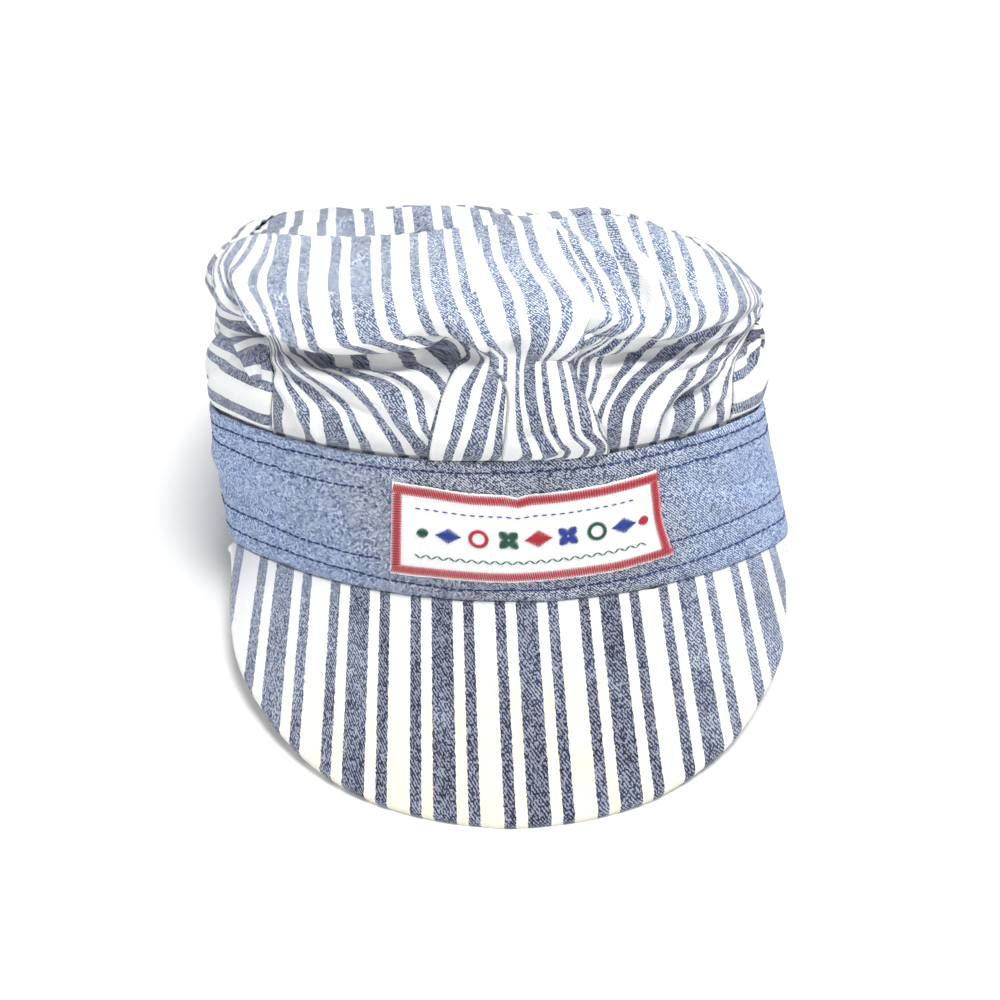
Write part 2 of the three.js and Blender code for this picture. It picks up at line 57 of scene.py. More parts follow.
MM = 0.001
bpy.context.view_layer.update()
Array = np.ndarray
Stations = tuple[list, list, list]
Pair = tuple[float, float]
Triple = tuple[float, float, float]
Piece = bpy.types.Object
Material = bpy.types.Material
NodeTree = bpy.types.NodeTree
Socket = bpy.types.NodeSocket


class Slot(Enum):
    """Material slots of the record."""

    STRIPED = "striped_cotton"
    CHAMBRAY = "chambray"
    LABEL = "label"


class Side(Enum):
    """Which flank of the crown a side panel covers, with its sign along X."""

    LEFT = -1
    RIGHT = 1


Column = float | tuple[float, ...]


class RingPlan(NamedTuple):
    """Plan of the crown's rings, as shares of the headband's depth and half width.

    A table holds a tuple for each value, with one number for each ring, and a single ring's plan
    holds single numbers.
    """

    inset: Column
    round: Column
    square: Column
    front: Column
    back: Column
    left: Column
    right: Column


class RingHeight(NamedTuple):
    """Height of the rings at stops round the crown, as shares of the crown's rise."""

    front: Column
    front_left: Column
    left: Column
    back: Column
    right: Column
    front_right: Column


class RingSeams(NamedTuple):
    """Angles at which seams and pleat edges cross the rings, in degrees."""

    seam_left: Column
    pleat_left: Column
    pleat_soft: Column
    pleat_right: Column
    seam_right: Column


class Fold(NamedTuple):
    """A soft fold of the crown: where it is, how far it fades, and what it moves."""

    name: str
    at: float
    ring: float
    wide: float
    tall: float
    slant: float = 0.0
    out: float = 0.0
    up: float = 0.0


class Wrinkle(NamedTuple):
    """A line crease: its path in degrees and rings, its depth and half width in millimetres."""

    name: str
    path: Sequence[Pair]
    depth: float
    width: float


def wrinkles(*rows: tuple) -> tuple[Wrinkle, ...]:
    """Wrinkles from rows of name, path, depth and half width."""
    return tuple(Wrinkle(*row) for row in rows)


RING_PLANS = RingPlan(
    inset=(1.0, -0.2, 0.0, 0.0, 0.0, 0.0, 0.0, 0.0),
    round=(0.0, 0.2, 0.5, 0.75, 0.9, 1.0, 1.0, 1.0),
    square=(2.4, 2.4, 2.4, 2.5, 2.5, 2.6, 2.8, 3.1),
    front=(0.0, 0.021, 0.044, 0.058, 0.037, 0.084, 0.228, 0.371),
    back=(1.0, 1.009, 1.018, 1.006, 1.009, 0.994, 0.964, 0.922),
    left=(0.93, 0.945, 0.95, 0.95, 0.96, 0.955, 0.925, 0.86),
    right=(0.93, 0.95, 0.965, 0.96, 0.97, 0.955, 0.9, 0.835),
)

RING_HEIGHTS = RingHeight(
    front=(0.0, 0.2, 0.39, 0.55, 0.69, 0.83, 0.94, 1.0),
    front_left=(0.0, 0.2, 0.36, 0.49, 0.64, 0.8, 0.88, 0.9),
    left=(0.0, 0.17, 0.34, 0.48, 0.59, 0.675, 0.725, 0.745),
    back=(0.0, 0.15, 0.3, 0.4, 0.48, 0.54, 0.58, 0.6),
    right=(0.0, 0.14, 0.27, 0.37, 0.44, 0.49, 0.535, 0.575),
    front_right=(0.0, 0.2, 0.36, 0.51, 0.66, 0.79, 0.91, 0.96),
)
HEIGHT_STOPS = (
    (-180, "back"),
    (-90, "left"),
    (-55, "front_left"),
    (0, "front"),
    (42, "front_right"),
    (90, "right"),
    (180, "back"),
)

RING_SEAMS = RingSeams(
    seam_left=(-44.5, -41.5, -41.5, -46, -58, -67, -69, -70),
    pleat_left=(-10.2, -8.5, -6.3, -3.5, -3, -2.5, -2, -2),
    pleat_soft=(3.5, 4.5, 4.8, 1.5, 0, 0, 0, 0),
    pleat_right=(23.7, 20, 16.5, 15.5, 18, 22, 22, 22),
    seam_right=(52.5, 50.5, 52, 58.5, 65, 69, 71, 72),
)

CROWN_FOLDS = (
    Fold("left crease", at=-30, ring=3, wide=19, tall=0.55, out=-0.11, up=-0.04),
    Fold("left belly", at=-30, ring=4.1, wide=20, tall=0.8, out=0.03, up=-0.07),
    Fold("left pinch", at=-50, ring=3.3, wide=7, tall=0.8, slant=-6, out=-0.1, up=0.02),
    Fold("pleat hollow", at=-8, ring=2.9, wide=5, tall=0.7, slant=3, out=-0.08),
    Fold("right crease", at=36, ring=3, wide=21, tall=0.55, out=-0.11),
    Fold("right belly", at=34, ring=4, wide=16, tall=0.7, out=0.03, up=-0.03),
    Fold("right ridge", at=28, ring=5.8, wide=4, tall=1.1, slant=-9, out=0.03, up=0.04),
    Fold("right crumple", at=74, ring=2.4, wide=6, tall=1.2, out=-0.09),
    Fold("left side fold", at=-72, ring=2.6, wide=10, tall=0.7, slant=-8, out=-0.05),
    Fold("back left fold", at=-135, ring=3, wide=22, tall=0.9, slant=10, out=-0.06),
    Fold("back fold", at=178, ring=2.6, wide=26, tall=0.8, out=-0.05),
    Fold("back right fold", at=128, ring=3.1, wide=20, tall=0.9, slant=-10, out=-0.06),
)

CLOTH_FOLDS = (
    Fold("right shoulder", at=38, ring=7, wide=28, tall=2.4, up=0.095),
)


class TopFold(NamedTuple):
    """A soft hump or hollow of the crown's top, as a share of the crown's rise."""

    name: str
    at: float
    inward: float
    wide: float
    deep: float
    up: float


TOP_FOLDS = (
    TopFold("front puff", at=-32, inward=0.25, wide=42, deep=0.22, up=0.12),
    TopFold("middle hollow", at=15, inward=0.55, wide=60, deep=0.3, up=-0.06),
    TopFold("back hump", at=-160, inward=0.4, wide=45, deep=0.3, up=0.05),
)


class BandFold(NamedTuple):
    """A soft swelling of the headband, as a share of its half width."""

    name: str
    at: float
    wide: float
    out: float


BAND_FOLDS = (
    BandFold("left swelling", at=-82, wide=26, out=0.04),
    BandFold("back left dent", at=-128, wide=18, out=-0.02),
    BandFold("back right swelling", at=140, wide=24, out=0.02),
)


class PeakStation(NamedTuple):
    """Length of the peak at a share of its half width, as a share of its length in the middle."""

    along: float
    length: float


VISOR_OUTLINE = (
    PeakStation(0.0, 1.0),
    PeakStation(0.15, 0.975),
    PeakStation(0.3, 0.91),
    PeakStation(0.45, 0.79),
    PeakStation(0.6, 0.62),
    PeakStation(0.72, 0.46),
    PeakStation(0.82, 0.28),
    PeakStation(0.91, 0.125),
    PeakStation(1.0, 0.0),
)


def lerp(a: float, b: float, share: float) -> float:
    """Value a share of the way from a to b."""
    return a + (b - a) * share


def smoothstep(value: Array | float, low: float, high: float) -> Array:
    """Share of the way from low to high, eased at both ends."""
    share = np.clip((np.asarray(value, float) - low) / (high - low), 0.0, 1.0)
    return share * share * (3.0 - 2.0 * share)


def bump(distance: Array) -> Array:
    """A bump that is 1 in its middle and fades to 0."""
    return np.exp(-2.5 * distance * distance)


def apart(a: Array | float, b: float) -> Array:
    """Signed degrees from b to a, the short way round."""
    return (np.asarray(a, float) - b + 180.0) % 360.0 - 180.0


def unit(vectors: Array) -> Array:
    """The same directions with length 1."""
    return vectors / np.maximum(np.linalg.norm(vectors, axis=-1, keepdims=True), 1e-9)


def through(values: Sequence[float], at: float) -> float:
    """Smooth curve through evenly spaced values.

    Args:
        values: One value for each station 0, 1, 2 and so on.
        at: Where to read it, in stations.

    Returns:
        The value there, as a uniform Catmull-Rom curve gives it.
    """
    last = len(values) - 1
    at = min(max(at, 0.0), last)
    low = min(int(at), last - 1)
    share = at - low
    before, start, end = values[max(low - 1, 0)], values[low], values[low + 1]
    after = values[min(low + 2, last)]
    slope_start, slope_end = (end - before) / 2, (after - start) / 2
    cubic = 2 * start - 2 * end + slope_start + slope_end
    square = -3 * start + 3 * end - 2 * slope_start - slope_end
    return ((cubic * share + square) * share + slope_start) * share + start


@dataclass(frozen=True)
class CapForm:
    """Form of the cap, in millimetres, before it is laid down to rest.

    Angles go round the cap in degrees, 0 at the front and 90 at the right of the picture. Rings
    count up the crown from 0 at the headband to the last at the top seam.
    """

    band_height: float = 46.0
    band_wall: float = 1.6
    band_half_width: float = 93.0
    front_radius: float = 130.0
    corner_radius: float = 16.0
    side_run: float = 35.0
    back_depth: float = 88.0
    band_lean: float = 7.0
    band_taper: float = 6.0
    visor_half_width: float = 90.0
    visor_length: float = 66.8
    visor_corner: float = 1.6
    visor_slope: float = math.radians(28.6)
    visor_thickness: float = 3.0
    crown_rise: float = 51.0
    crown_tuck: float = 5.0
    top_centre_sag: float = 7.0
    seam_gap: float = 0.3
    tuck_gap: float = 0.6
    rest_flattening: float = 1.2
    fold_rise_rings: float = 0.8

    @property
    def last_ring(self) -> int:
        """Number of the ring at the top seam."""
        return len(RING_PLANS.round) - 1

    @property
    def corner_x(self) -> float:
        """Across distance of the corner arc's middle."""
        return self.band_half_width - self.corner_radius

    @property
    def front_half_angle(self) -> float:
        """Half angle of the front arc, up to where the corner arc begins."""
        return math.asin(self.corner_x / (self.front_radius - self.corner_radius))

    @property
    def corner_y(self) -> float:
        """Depth of the corner arc's middle behind the front."""
        reach = self.front_radius - self.corner_radius
        return self.front_radius - reach * math.cos(self.front_half_angle)

    @property
    def band_depth(self) -> float:
        """Length of the headband's plan from front to back."""
        return self.corner_y + self.side_run + self.back_depth

    @property
    def band_middle(self) -> float:
        """Half of the headband's depth."""
        return self.band_depth / 2

    @property
    def top_narrow(self) -> float:
        """Width of the headband's top edge as a share of its bottom edge's."""
        return 1 - self.band_taper / self.band_half_width

    def half_outline(self) -> Array:
        """Points of the right half of the headband's plan, from the front to the back."""
        steps = np.linspace(0, 1, 49)
        front = self.front_half_angle * steps
        corner = self.front_half_angle + (math.pi / 2 - self.front_half_angle) * steps[1:]
        back = math.pi / 2 * steps
        back_y = self.corner_y + self.side_run
        x = [
            self.front_radius * np.sin(front),
            self.corner_x + self.corner_radius * np.sin(corner),
            self.band_half_width * np.cos(back),
        ]
        y = [
            self.front_radius * (1 - np.cos(front)),
            self.corner_y - self.corner_radius * np.cos(corner),
            back_y + self.back_depth * np.sin(back),
        ]
        return np.column_stack([np.concatenate(x), np.concatenate(y)])

    def outline_radius(self, angles: Array, middle: float, narrow: float) -> Array:
        """Distance from the point (0, middle) to the headband's plan.

        Args:
            angles: Directions in degrees.
            middle: How far behind the front the point stands.
            narrow: Share to which the plan's width is narrowed.

        Returns:
            One distance for each angle.
        """
        plan = self.half_outline()
        x, y = plan[:, 0] * narrow, plan[:, 1] - middle
        turns = np.arctan2(x, -y)
        wanted = np.radians(np.abs(apart(angles, 0.0)))
        high = np.clip(np.searchsorted(turns, wanted), 1, len(turns) - 1)
        low = high - 1
        across, forward = np.sin(wanted), -np.cos(wanted)
        side_a = x[low] * forward - y[low] * across
        side_b = x[high] * forward - y[high] * across
        share = side_a / np.where(side_a == side_b, 1.0, side_a - side_b)
        share = np.clip(share, 0.0, 1.0)
        return np.hypot(x[low] + (x[high] - x[low]) * share, y[low] + (y[high] - y[low]) * share)

    def band_points(self, angles: Array, share: float, inset: float = 0.0) -> Array:
        """Points of the headband's outer face at a share of its height."""
        turns = np.radians(angles)
        radius = self.outline_radius(angles, self.band_middle, lerp(1, self.top_narrow, share))
        radius = radius - inset
        swell = math.sin(math.pi * min(max(share, 0.0), 1.0)) ** 2
        for fold in BAND_FOLDS:
            aside = apart(angles, fold.at) / fold.wide
            radius = radius + fold.out * self.band_half_width * swell * bump(aside)
        x = radius * np.sin(turns) - self.band_lean * share
        y = self.band_middle - radius * np.cos(turns)
        return np.column_stack([x, y, np.full(len(turns), self.band_height * share)])

    def band_facings(self, angles: Array, share: float) -> Array:
        """Level outward directions of the headband."""
        step = 0.5
        along = self.band_points(angles + step, share) - self.band_points(angles - step, share)
        return unit(np.column_stack([along[:, 1], -along[:, 0], np.zeros(len(along))]))

    def crown_points(self, angles: Array, ring: float) -> Array:
        """Points of the crown's outer face on one ring; rings below 0 are tucked in the headband.

        Args:
            angles: Directions in degrees.
            ring: Which ring, with fractions between rings.

        Returns:
            One point for each angle.
        """
        turns = np.radians(angles)
        upper, tuck = max(ring, 0.0), max(-ring, 0.0)
        plan = RingPlan(*(through(column, upper) for column in RING_PLANS))
        front, back = plan.front * self.band_depth, plan.back * self.band_depth
        middle = (front + back) / 2
        half_width = self.band_half_width * np.where(np.sin(turns) < 0, plan.left, plan.right)
        across = np.abs(np.sin(turns) / half_width) ** plan.square
        along = np.abs(np.cos(turns) / ((back - front) / 2)) ** plan.square
        oval = (across + along) ** (-1 / plan.square)
        banded = self.outline_radius(angles, middle, self.top_narrow)
        radius = banded + (oval - banded) * min(max(plan.round, 0.0), 1.0)
        height = self.band_height + self.crown_rise * self.ring_heights(angles, upper)
        height = height - tuck * self.crown_tuck
        for fold in CROWN_FOLDS + CLOTH_FOLDS:
            climbed = upper - fold.ring
            aside = apart(angles, fold.at + fold.slant * climbed) / fold.wide
            risen = smoothstep(upper, 0, self.fold_rise_rings)
            strength = bump(np.hypot(aside, climbed / fold.tall)) * risen
            radius = radius + fold.out * self.crown_rise * strength
            height = height + fold.up * self.crown_rise * strength
        leaned = self.band_lean * (1 - tuck * self.crown_tuck / self.band_height)
        x, y = radius * np.sin(turns) - leaned, middle - radius * np.cos(turns)
        points = np.column_stack([x, y, height])
        if upper < 2:
            inset = plan.inset * (self.band_wall + self.tuck_gap)
            points = points - self.band_facings(angles, 0.99) * inset
        return points

    def ring_heights(self, angles: Array, ring: float) -> Array:
        """Height of a ring at each angle, as a share of the crown's rise."""
        row = RingHeight(*(through(column, ring) for column in RING_HEIGHTS))
        at = apart(angles, 0.0)
        heights = np.zeros(len(at))
        for (start, low), (end, high) in zip(HEIGHT_STOPS, HEIGHT_STOPS[1:]):
            inside = (at >= start) & (at <= end)
            share = smoothstep(at[inside], start, end)
            heights[inside] = lerp(getattr(row, low), getattr(row, high), share)
        return heights

    def seams(self, ring: float) -> RingSeams:
        """Angles of the seams and pleat edges on a ring."""
        return RingSeams(*(through(column, max(ring, 0.0)) for column in RING_SEAMS))

    def top_middle(self) -> Array:
        """Highest middle point of the crown's top."""
        quarters = np.array([0.0, 90.0, 180.0, -90.0])
        front, right, back, left = self.crown_points(quarters, self.last_ring)
        height = (front[2] + right[2] + back[2] + left[2]) / 4 + self.top_centre_sag
        return np.array([(left[0] + right[0]) / 2, (front[1] + back[1]) / 2, height])

    def top_points(self, angles: Array, share: float) -> Array:
        """Points of the crown's top, from its seam at share 0 to its middle at share 1."""
        rim = self.crown_points(angles, self.last_ring)
        middle = self.top_middle()
        reach = np.hypot(rim[:, 0] - middle[0], rim[:, 1] - middle[1])
        inward = np.minimum(1.0, self.seam_gap / reach + share)
        points = rim + (middle - rim) * inward[:, None]
        points[:, 2] = rim[:, 2] + (middle[2] - rim[:, 2]) * smoothstep(inward, 0, 1)
        for fold in TOP_FOLDS:
            aside = apart(angles, fold.at) / fold.wide * (1 - share)
            strength = bump(np.hypot(aside, (share - fold.inward) / fold.deep))
            points[:, 2] += fold.up * self.crown_rise * strength * smoothstep(share, 0, 0.12)
        return points

    def visor_reach(self, along: float) -> float:
        """Length of the peak at a share of its half width."""
        columns = list(zip(*VISOR_OUTLINE))
        last = len(VISOR_OUTLINE) - 1
        low, high = 0.0, 1.0
        for _ in range(30):
            middle = (low + high) / 2
            if through(columns[0], middle * last) < abs(along):
                low = middle
            else:
                high = middle
        share = min(max(through(columns[1], low * last), 0.0), 1.0)
        return lerp(self.visor_corner, self.visor_length, share)

    def visor_point(self, along: float, out: float) -> Array:
        """Point of the peak's upper face: along from -1 to 1, out in millimetres."""
        turn = along * math.asin(self.visor_half_width / self.front_radius)
        slid = max(out, 0.0)
        radius = self.front_radius + min(out, 0.0) + slid * math.cos(self.visor_slope)
        drop = self.seam_gap + slid * math.sin(self.visor_slope)
        return np.array([radius * math.sin(turn), self.front_radius - radius * math.cos(turn), -drop])

    @property
    def peak_tip(self) -> Array:
        """Lowest point of the peak, at the underside of its front edge."""
        under = np.array([0.0, math.sin(self.visor_slope), -math.cos(self.visor_slope)])
        return self.visor_point(0.0, self.visor_length) + under * self.visor_thickness

    @property
    def rest_tilt(self) -> float:
        """Angle by which the cap's front is raised when it stands on its peak and its heel."""
        tip = self.peak_tip
        return math.atan2(-tip[2], self.band_depth - tip[1])


@dataclass(frozen=True)
class Resting:
    """Takes points from the headband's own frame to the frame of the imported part."""

    form: CapForm
    shift_x: float
    shift_y: float

    @classmethod
    def from_frame(cls, form: CapForm) -> "Resting":
        """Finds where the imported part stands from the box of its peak."""
        low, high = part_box("visor")
        start = cls(form, 0.0, 0.0)
        tip = start.tilted(form.peak_tip[None, :])[0]
        return cls(form, (low[0] + high[0]) / 2 / MM, low[1] / MM - tip[1])

    def tilted(self, points: Array) -> Array:
        """Points turned to the resting tilt and moved to their place, not yet pressed flat."""
        cos, sin = math.cos(self.form.rest_tilt), math.sin(self.form.rest_tilt)
        back = points[:, 1] - self.form.band_depth
        height = -back * sin + points[:, 2] * cos - self.form.rest_flattening
        depth = back * cos + points[:, 2] * sin
        return np.column_stack([points[:, 0] + self.shift_x, depth + self.shift_y, height])

    def placed(self, points: Array) -> Array:
        """Points at rest on the surface, in metres."""
        resting = self.tilted(points)
        resting[:, 2] = np.maximum(resting[:, 2], 0.0)
        return resting * MM


def select_only(piece: Piece) -> None:
    """Makes one object the only selected one, and active."""
    bpy.ops.object.select_all(action="DESELECT")
    piece.select_set(True)
    bpy.context.view_layer.objects.active = piece


def apply_modifier(piece: Piece, kind: str, **settings: object) -> None:
    """Adds a modifier with the given settings and applies it."""
    select_only(piece)
    modifier = piece.modifiers.new(kind.title(), kind)
    for name, value in settings.items():
        setattr(modifier, name, value)
    bpy.ops.object.modifier_apply(modifier=modifier.name)


def smooth_piece(name: str, points: Array, faces: list[tuple[int, ...]]) -> Piece:
    """A smooth object at the origin from points in metres and faces."""
    mesh = bpy.data.meshes.new(name)
    mesh.from_pydata(points.tolist(), [], faces)
    piece = bpy.data.objects.new(name, mesh)
    bpy.context.scene.collection.objects.link(piece)
    select_only(piece)
    bpy.ops.object.shade_smooth()
    return piece


def grid_piece(name: str, points: Array) -> Piece:
    """A cloth surface from a grid: rows up and columns to the right, seen from outside."""
    rows, columns = points.shape[:2]
    faces = []
    for row in range(rows - 1):
        for column in range(columns - 1):
            low, high = row * columns + column, (row + 1) * columns + column
            faces.append((low, low + 1, high + 1, high))
    return smooth_piece(name, points.reshape(-1, 3), faces)


def set_uv(piece: Piece, name: str, places: Array) -> None:
    """Adds a UV map that holds a pair of values for each point of a grid."""
    layer = piece.data.uv_layers.new(name=name)
    corners = np.empty(len(piece.data.loops), dtype=np.int32)
    piece.data.loops.foreach_get("vertex_index", corners)
    layer.data.foreach_set("uv", places.reshape(-1, 2)[corners].astype(np.float32).ravel())


def set_attribute(piece: Piece, name: str, values: Array) -> None:
    """Gives each point of a piece a value that its material reads."""
    layer = piece.data.attributes.new(name, "FLOAT", "POINT")
    layer.data.foreach_set("value", np.ascontiguousarray(values, dtype=np.float32).ravel())


def merge_doubles(piece: Piece, distance: float = 0.02 * MM) -> None:
    """Joins points that lie on each other, as at a ring's closing column."""
    select_only(piece)
    bpy.ops.object.mode_set(mode="EDIT")
    bpy.ops.mesh.select_all(action="SELECT")
    bpy.ops.mesh.remove_doubles(threshold=distance)
    bpy.ops.object.mode_set(mode="OBJECT")


def grid_facings(points: Array) -> Array:
    """Outward directions of a grid whose rows run up and columns to the right."""
    along = np.gradient(points, axis=1)
    up = np.gradient(points, axis=0)
    return unit(np.cross(along, up))


def waves(points: Array, scale: float, seed: float) -> Array:
    """Smooth irregularity from -1 to 1 at each point of a grid, with features of a given size."""
    flat = points.reshape(-1, 3) / scale
    values = [noise.noise(Vector((x + seed, y, z))) for x, y, z in flat]
    return np.array(values).reshape(points.shape[:-1])


class Swell(NamedTuple):
    """Soft waves of a cloth: height and size in millimetres, and where their pattern starts."""

    height: float
    size: float
    seed: float


CROWN_SWELLS = (Swell(0.5, 13.0, 3.0), Swell(1.0, 32.0, 8.0))
TOP_SWELLS = (Swell(1.4, 26.0, 9.0), Swell(0.5, 11.0, 5.0))
BAND_SWELLS = (Swell(0.7, 21.0, 21.0), Swell(0.35, 8.0, 4.0))
PEAK_SWELLS = (Swell(0.35, 22.0, 31.0), Swell(0.12, 7.0, 13.0))
LABEL_SWELLS = (Swell(0.25, 14.0, 17.0),)
LABEL_FRAYS = (Swell(0.3, 1.3, 40.0),)


def soft_waves(points: Array, swells: Sequence[Swell]) -> Array:
    """Height of a cloth's soft waves at each point, in millimetres."""
    return sum(swell.height * waves(points, swell.size, swell.seed) for swell in swells)


class Gathers(NamedTuple):
    """Small gathers along a seam: their height, how close they lie and how far they reach."""

    height: float
    turns: float
    reach: float

    def at(self, angles: Array, away: Array) -> Array:
        """Height of the gathers at angles in degrees, some millimetres away from the seam."""
        return self.height * np.sin(angles * self.turns) * np.exp(-away / self.reach)


CREASE_ROUNDNESS = 1.6


def line_relief(
    across: Array,
    up: Array,
    wrinkles: Iterable[Wrinkle],
    aspect: Pair,
) -> Array:
    """Depth of line creases at each point of a grid.

    Args:
        across: First coordinate of each point, such as degrees.
        up: Second coordinate of each point, such as rings.
        wrinkles: The creases.
        aspect: Millimetres for one unit of each coordinate.

    Returns:
        Displacement in millimetres, outwards positive.
    """
    relief = np.zeros(across.shape)
    scale = np.array(aspect)
    for wrinkle in wrinkles:
        path = np.array(wrinkle.path, float) * scale
        lengths = np.linalg.norm(np.diff(path, axis=0), axis=1)
        total = max(lengths.sum(), 1e-6)
        nearest = np.full(across.shape, np.inf)
        share = np.zeros(across.shape)
        run = 0.0
        for start, end, length in zip(path, path[1:], lengths):
            step = (end - start) / max(length, 1e-6)
            dx, dy = across * scale[0] - start[0], up * scale[1] - start[1]
            slid = np.clip(dx * step[0] + dy * step[1], 0.0, length)
            distance = np.hypot(dx - slid * step[0], dy - slid * step[1])
            closer = distance < nearest
            nearest = np.where(closer, distance, nearest)
            share = np.where(closer, (run + slid) / total, share)
            run += length
        ends = np.sqrt(np.clip(4 * share * (1 - share), 0.0, 1.0))
        relief += wrinkle.depth * np.exp(-((nearest / wrinkle.width) ** CREASE_ROUNDNESS)) * ends
    return relief


STRIPE_REPEAT = 24.0


class StripeLine(NamedTuple):
    """A line of the front's stripes: its place across the cloth in millimetres, and its path.

    The path is the line's angle in degrees on each of STRIPE_RINGS.
    """

    place: float
    path: tuple[float, ...]


STRIPE_RINGS = (0, 0.5, 1, 2, 2.5, 3, 3.5, 4, 4.5, 5, 6, 7)
LEFT_STRIPES = (
    StripeLine(-115, (-44.5, -43, -41.5, -41.5, -42.5, -45.5, -52, -57, -61, -64.5, -73, -82)),
    StripeLine(-96, (-29.5, -28, -28, -36.5, -39.5, -42.5, -43.5, -45.5, -52, -58, -62.5, -75)),
    StripeLine(-84, (-19, -19.5, -21.5, -28, -35, -41, -41, -41.5, -45, -51, -55.5, -67)),
    StripeLine(-72, (-10.5, -11.5, -14, -17.5, -24, -36, -37, -36.5, -38.5, -41.5, -49.5, -61)),
    StripeLine(-48, (-1, -2, -3, -2.5, -4, -7, -15, -20, -22, -24, -31, -41.5)),
    StripeLine(-24, (9, 8, 6.5, 8, 7, 6.5, 1, -4, -6, -8, -12.5, -19)),
)
PLEAT_STRIPES = (
    StripeLine(-48, (-17, -16, -14.5, -13.5, -9.5, -5.5, -12, -20, -22, -24, -31, -41.5)),
    StripeLine(-24, (-3, -2, -0.5, 1.5, 2, 2, -1, -4, -6, -8, -12.5, -19)),
    StripeLine(0, (9, 12, 9.5, 8, 8, 8.5, 9.5, 10.5, 10.5, 10.5, 7, 7)),
    StripeLine(24, (21, 21.5, 18, 17, 16.5, 16, 18, 22, 26.5, 27, 28, 33)),
    StripeLine(48, (30, 28, 26, 25, 26, 28, 31, 36, 37.5, 38, 42.5, 52)),
)
RIGHT_STRIPES = (
    StripeLine(24, (11.5, 11, 10.5, 13.5, 13.8, 14, 17, 22, 26.5, 27, 28, 33)),
    StripeLine(48, (18.5, 17.5, 16, 17.5, 18.2, 19.5, 27, 36, 37.5, 38, 42.5, 52)),
    StripeLine(60, (21.5, 20, 19, 21.5, 22.8, 25, 35, 43, 45, 45.5, 51, 60)),
    StripeLine(72, (25, 24, 23.5, 26.5, 32, 42.5, 48, 52, 53.5, 54.5, 60, 69)),
    StripeLine(96, (38, 38, 38.5, 44, 50, 55, 58, 60, 62, 63.5, 69, 78)),
    StripeLine(118, (52.5, 51.5, 50.5, 52, 55, 59, 62, 66, 69, 72, 78, 88)),
)


def station_curve(stations: Sequence[float], values: Sequence[float], at: float) -> float:
    """Smooth curve through uneven stations that never overshoots them.

    Args:
        stations: Rising places of the values.
        values: One value for each station.
        at: Where to read the curve.

    Returns:
        The value there.
    """
    at = min(max(at, stations[0]), stations[-1])
    slopes = [(b - a) / (t - s) for a, b, s, t in zip(values, values[1:], stations, stations[1:])]
    tangents = [slopes[0]]
    for before, after in zip(slopes, slopes[1:]):
        tangents.append(0.0 if before * after <= 0 else 2 * before * after / (before + after))
    tangents.append(slopes[-1])
    low = max(i for i in range(len(stations) - 1) if stations[i] <= at)
    span = stations[low + 1] - stations[low]
    t = (at - stations[low]) / span
    start = (2 * t**3 - 3 * t**2 + 1) * values[low] + (t**3 - 2 * t**2 + t) * span * tangents[low]
    end = (-2 * t**3 + 3 * t**2) * values[low + 1] + (t**3 - t**2) * span * tangents[low + 1]
    return start + end


def stripe_at(ring: float, lines: Sequence[StripeLine], angles: Array) -> Array:
    """Cloth coordinate across the stripes on one ring of the front panel.

    Args:
        ring: Which ring.
        lines: The stripe lines of one part of the panel.
        angles: Where to read it, in degrees.

    Returns:
        Millimetres across the cloth at each angle.
    """
    at = [station_curve(STRIPE_RINGS, line.path, max(ring, 0.0)) for line in lines]
    cloth = [line.place for line in lines]
    across = np.interp(angles, at, cloth)
    first = (cloth[1] - cloth[0]) / (at[1] - at[0])
    last = (cloth[-1] - cloth[-2]) / (at[-1] - at[-2])
    across = np.where(angles < at[0], cloth[0] + (angles - at[0]) * first, across)
    return np.where(angles > at[-1], cloth[-1] + (angles - at[-1]) * last, across)


class Lap(NamedTuple):
    """A pleat's folded edge: which seam column it follows, and how its layers lie."""

    column: str
    over: int
    raised: float
    under: float
    begins: float
    ends: float


LAPS = (
    Lap("pleat_left", over=1, raised=2.6, under=2.6, begins=2.5, ends=3.6),
    Lap("pleat_soft", over=1, raised=2.2, under=1.6, begins=2.6, ends=3.5),
    Lap("pleat_right", over=-1, raised=2.8, under=2.8, begins=3.4, ends=4.7),
)
LAP_TURNS = (
    (0.5, 0.04),
    (1.0, 0.2),
    (0.55, 0.5),
    (0.1, 0.66),
    (-0.22, 0.84),
)

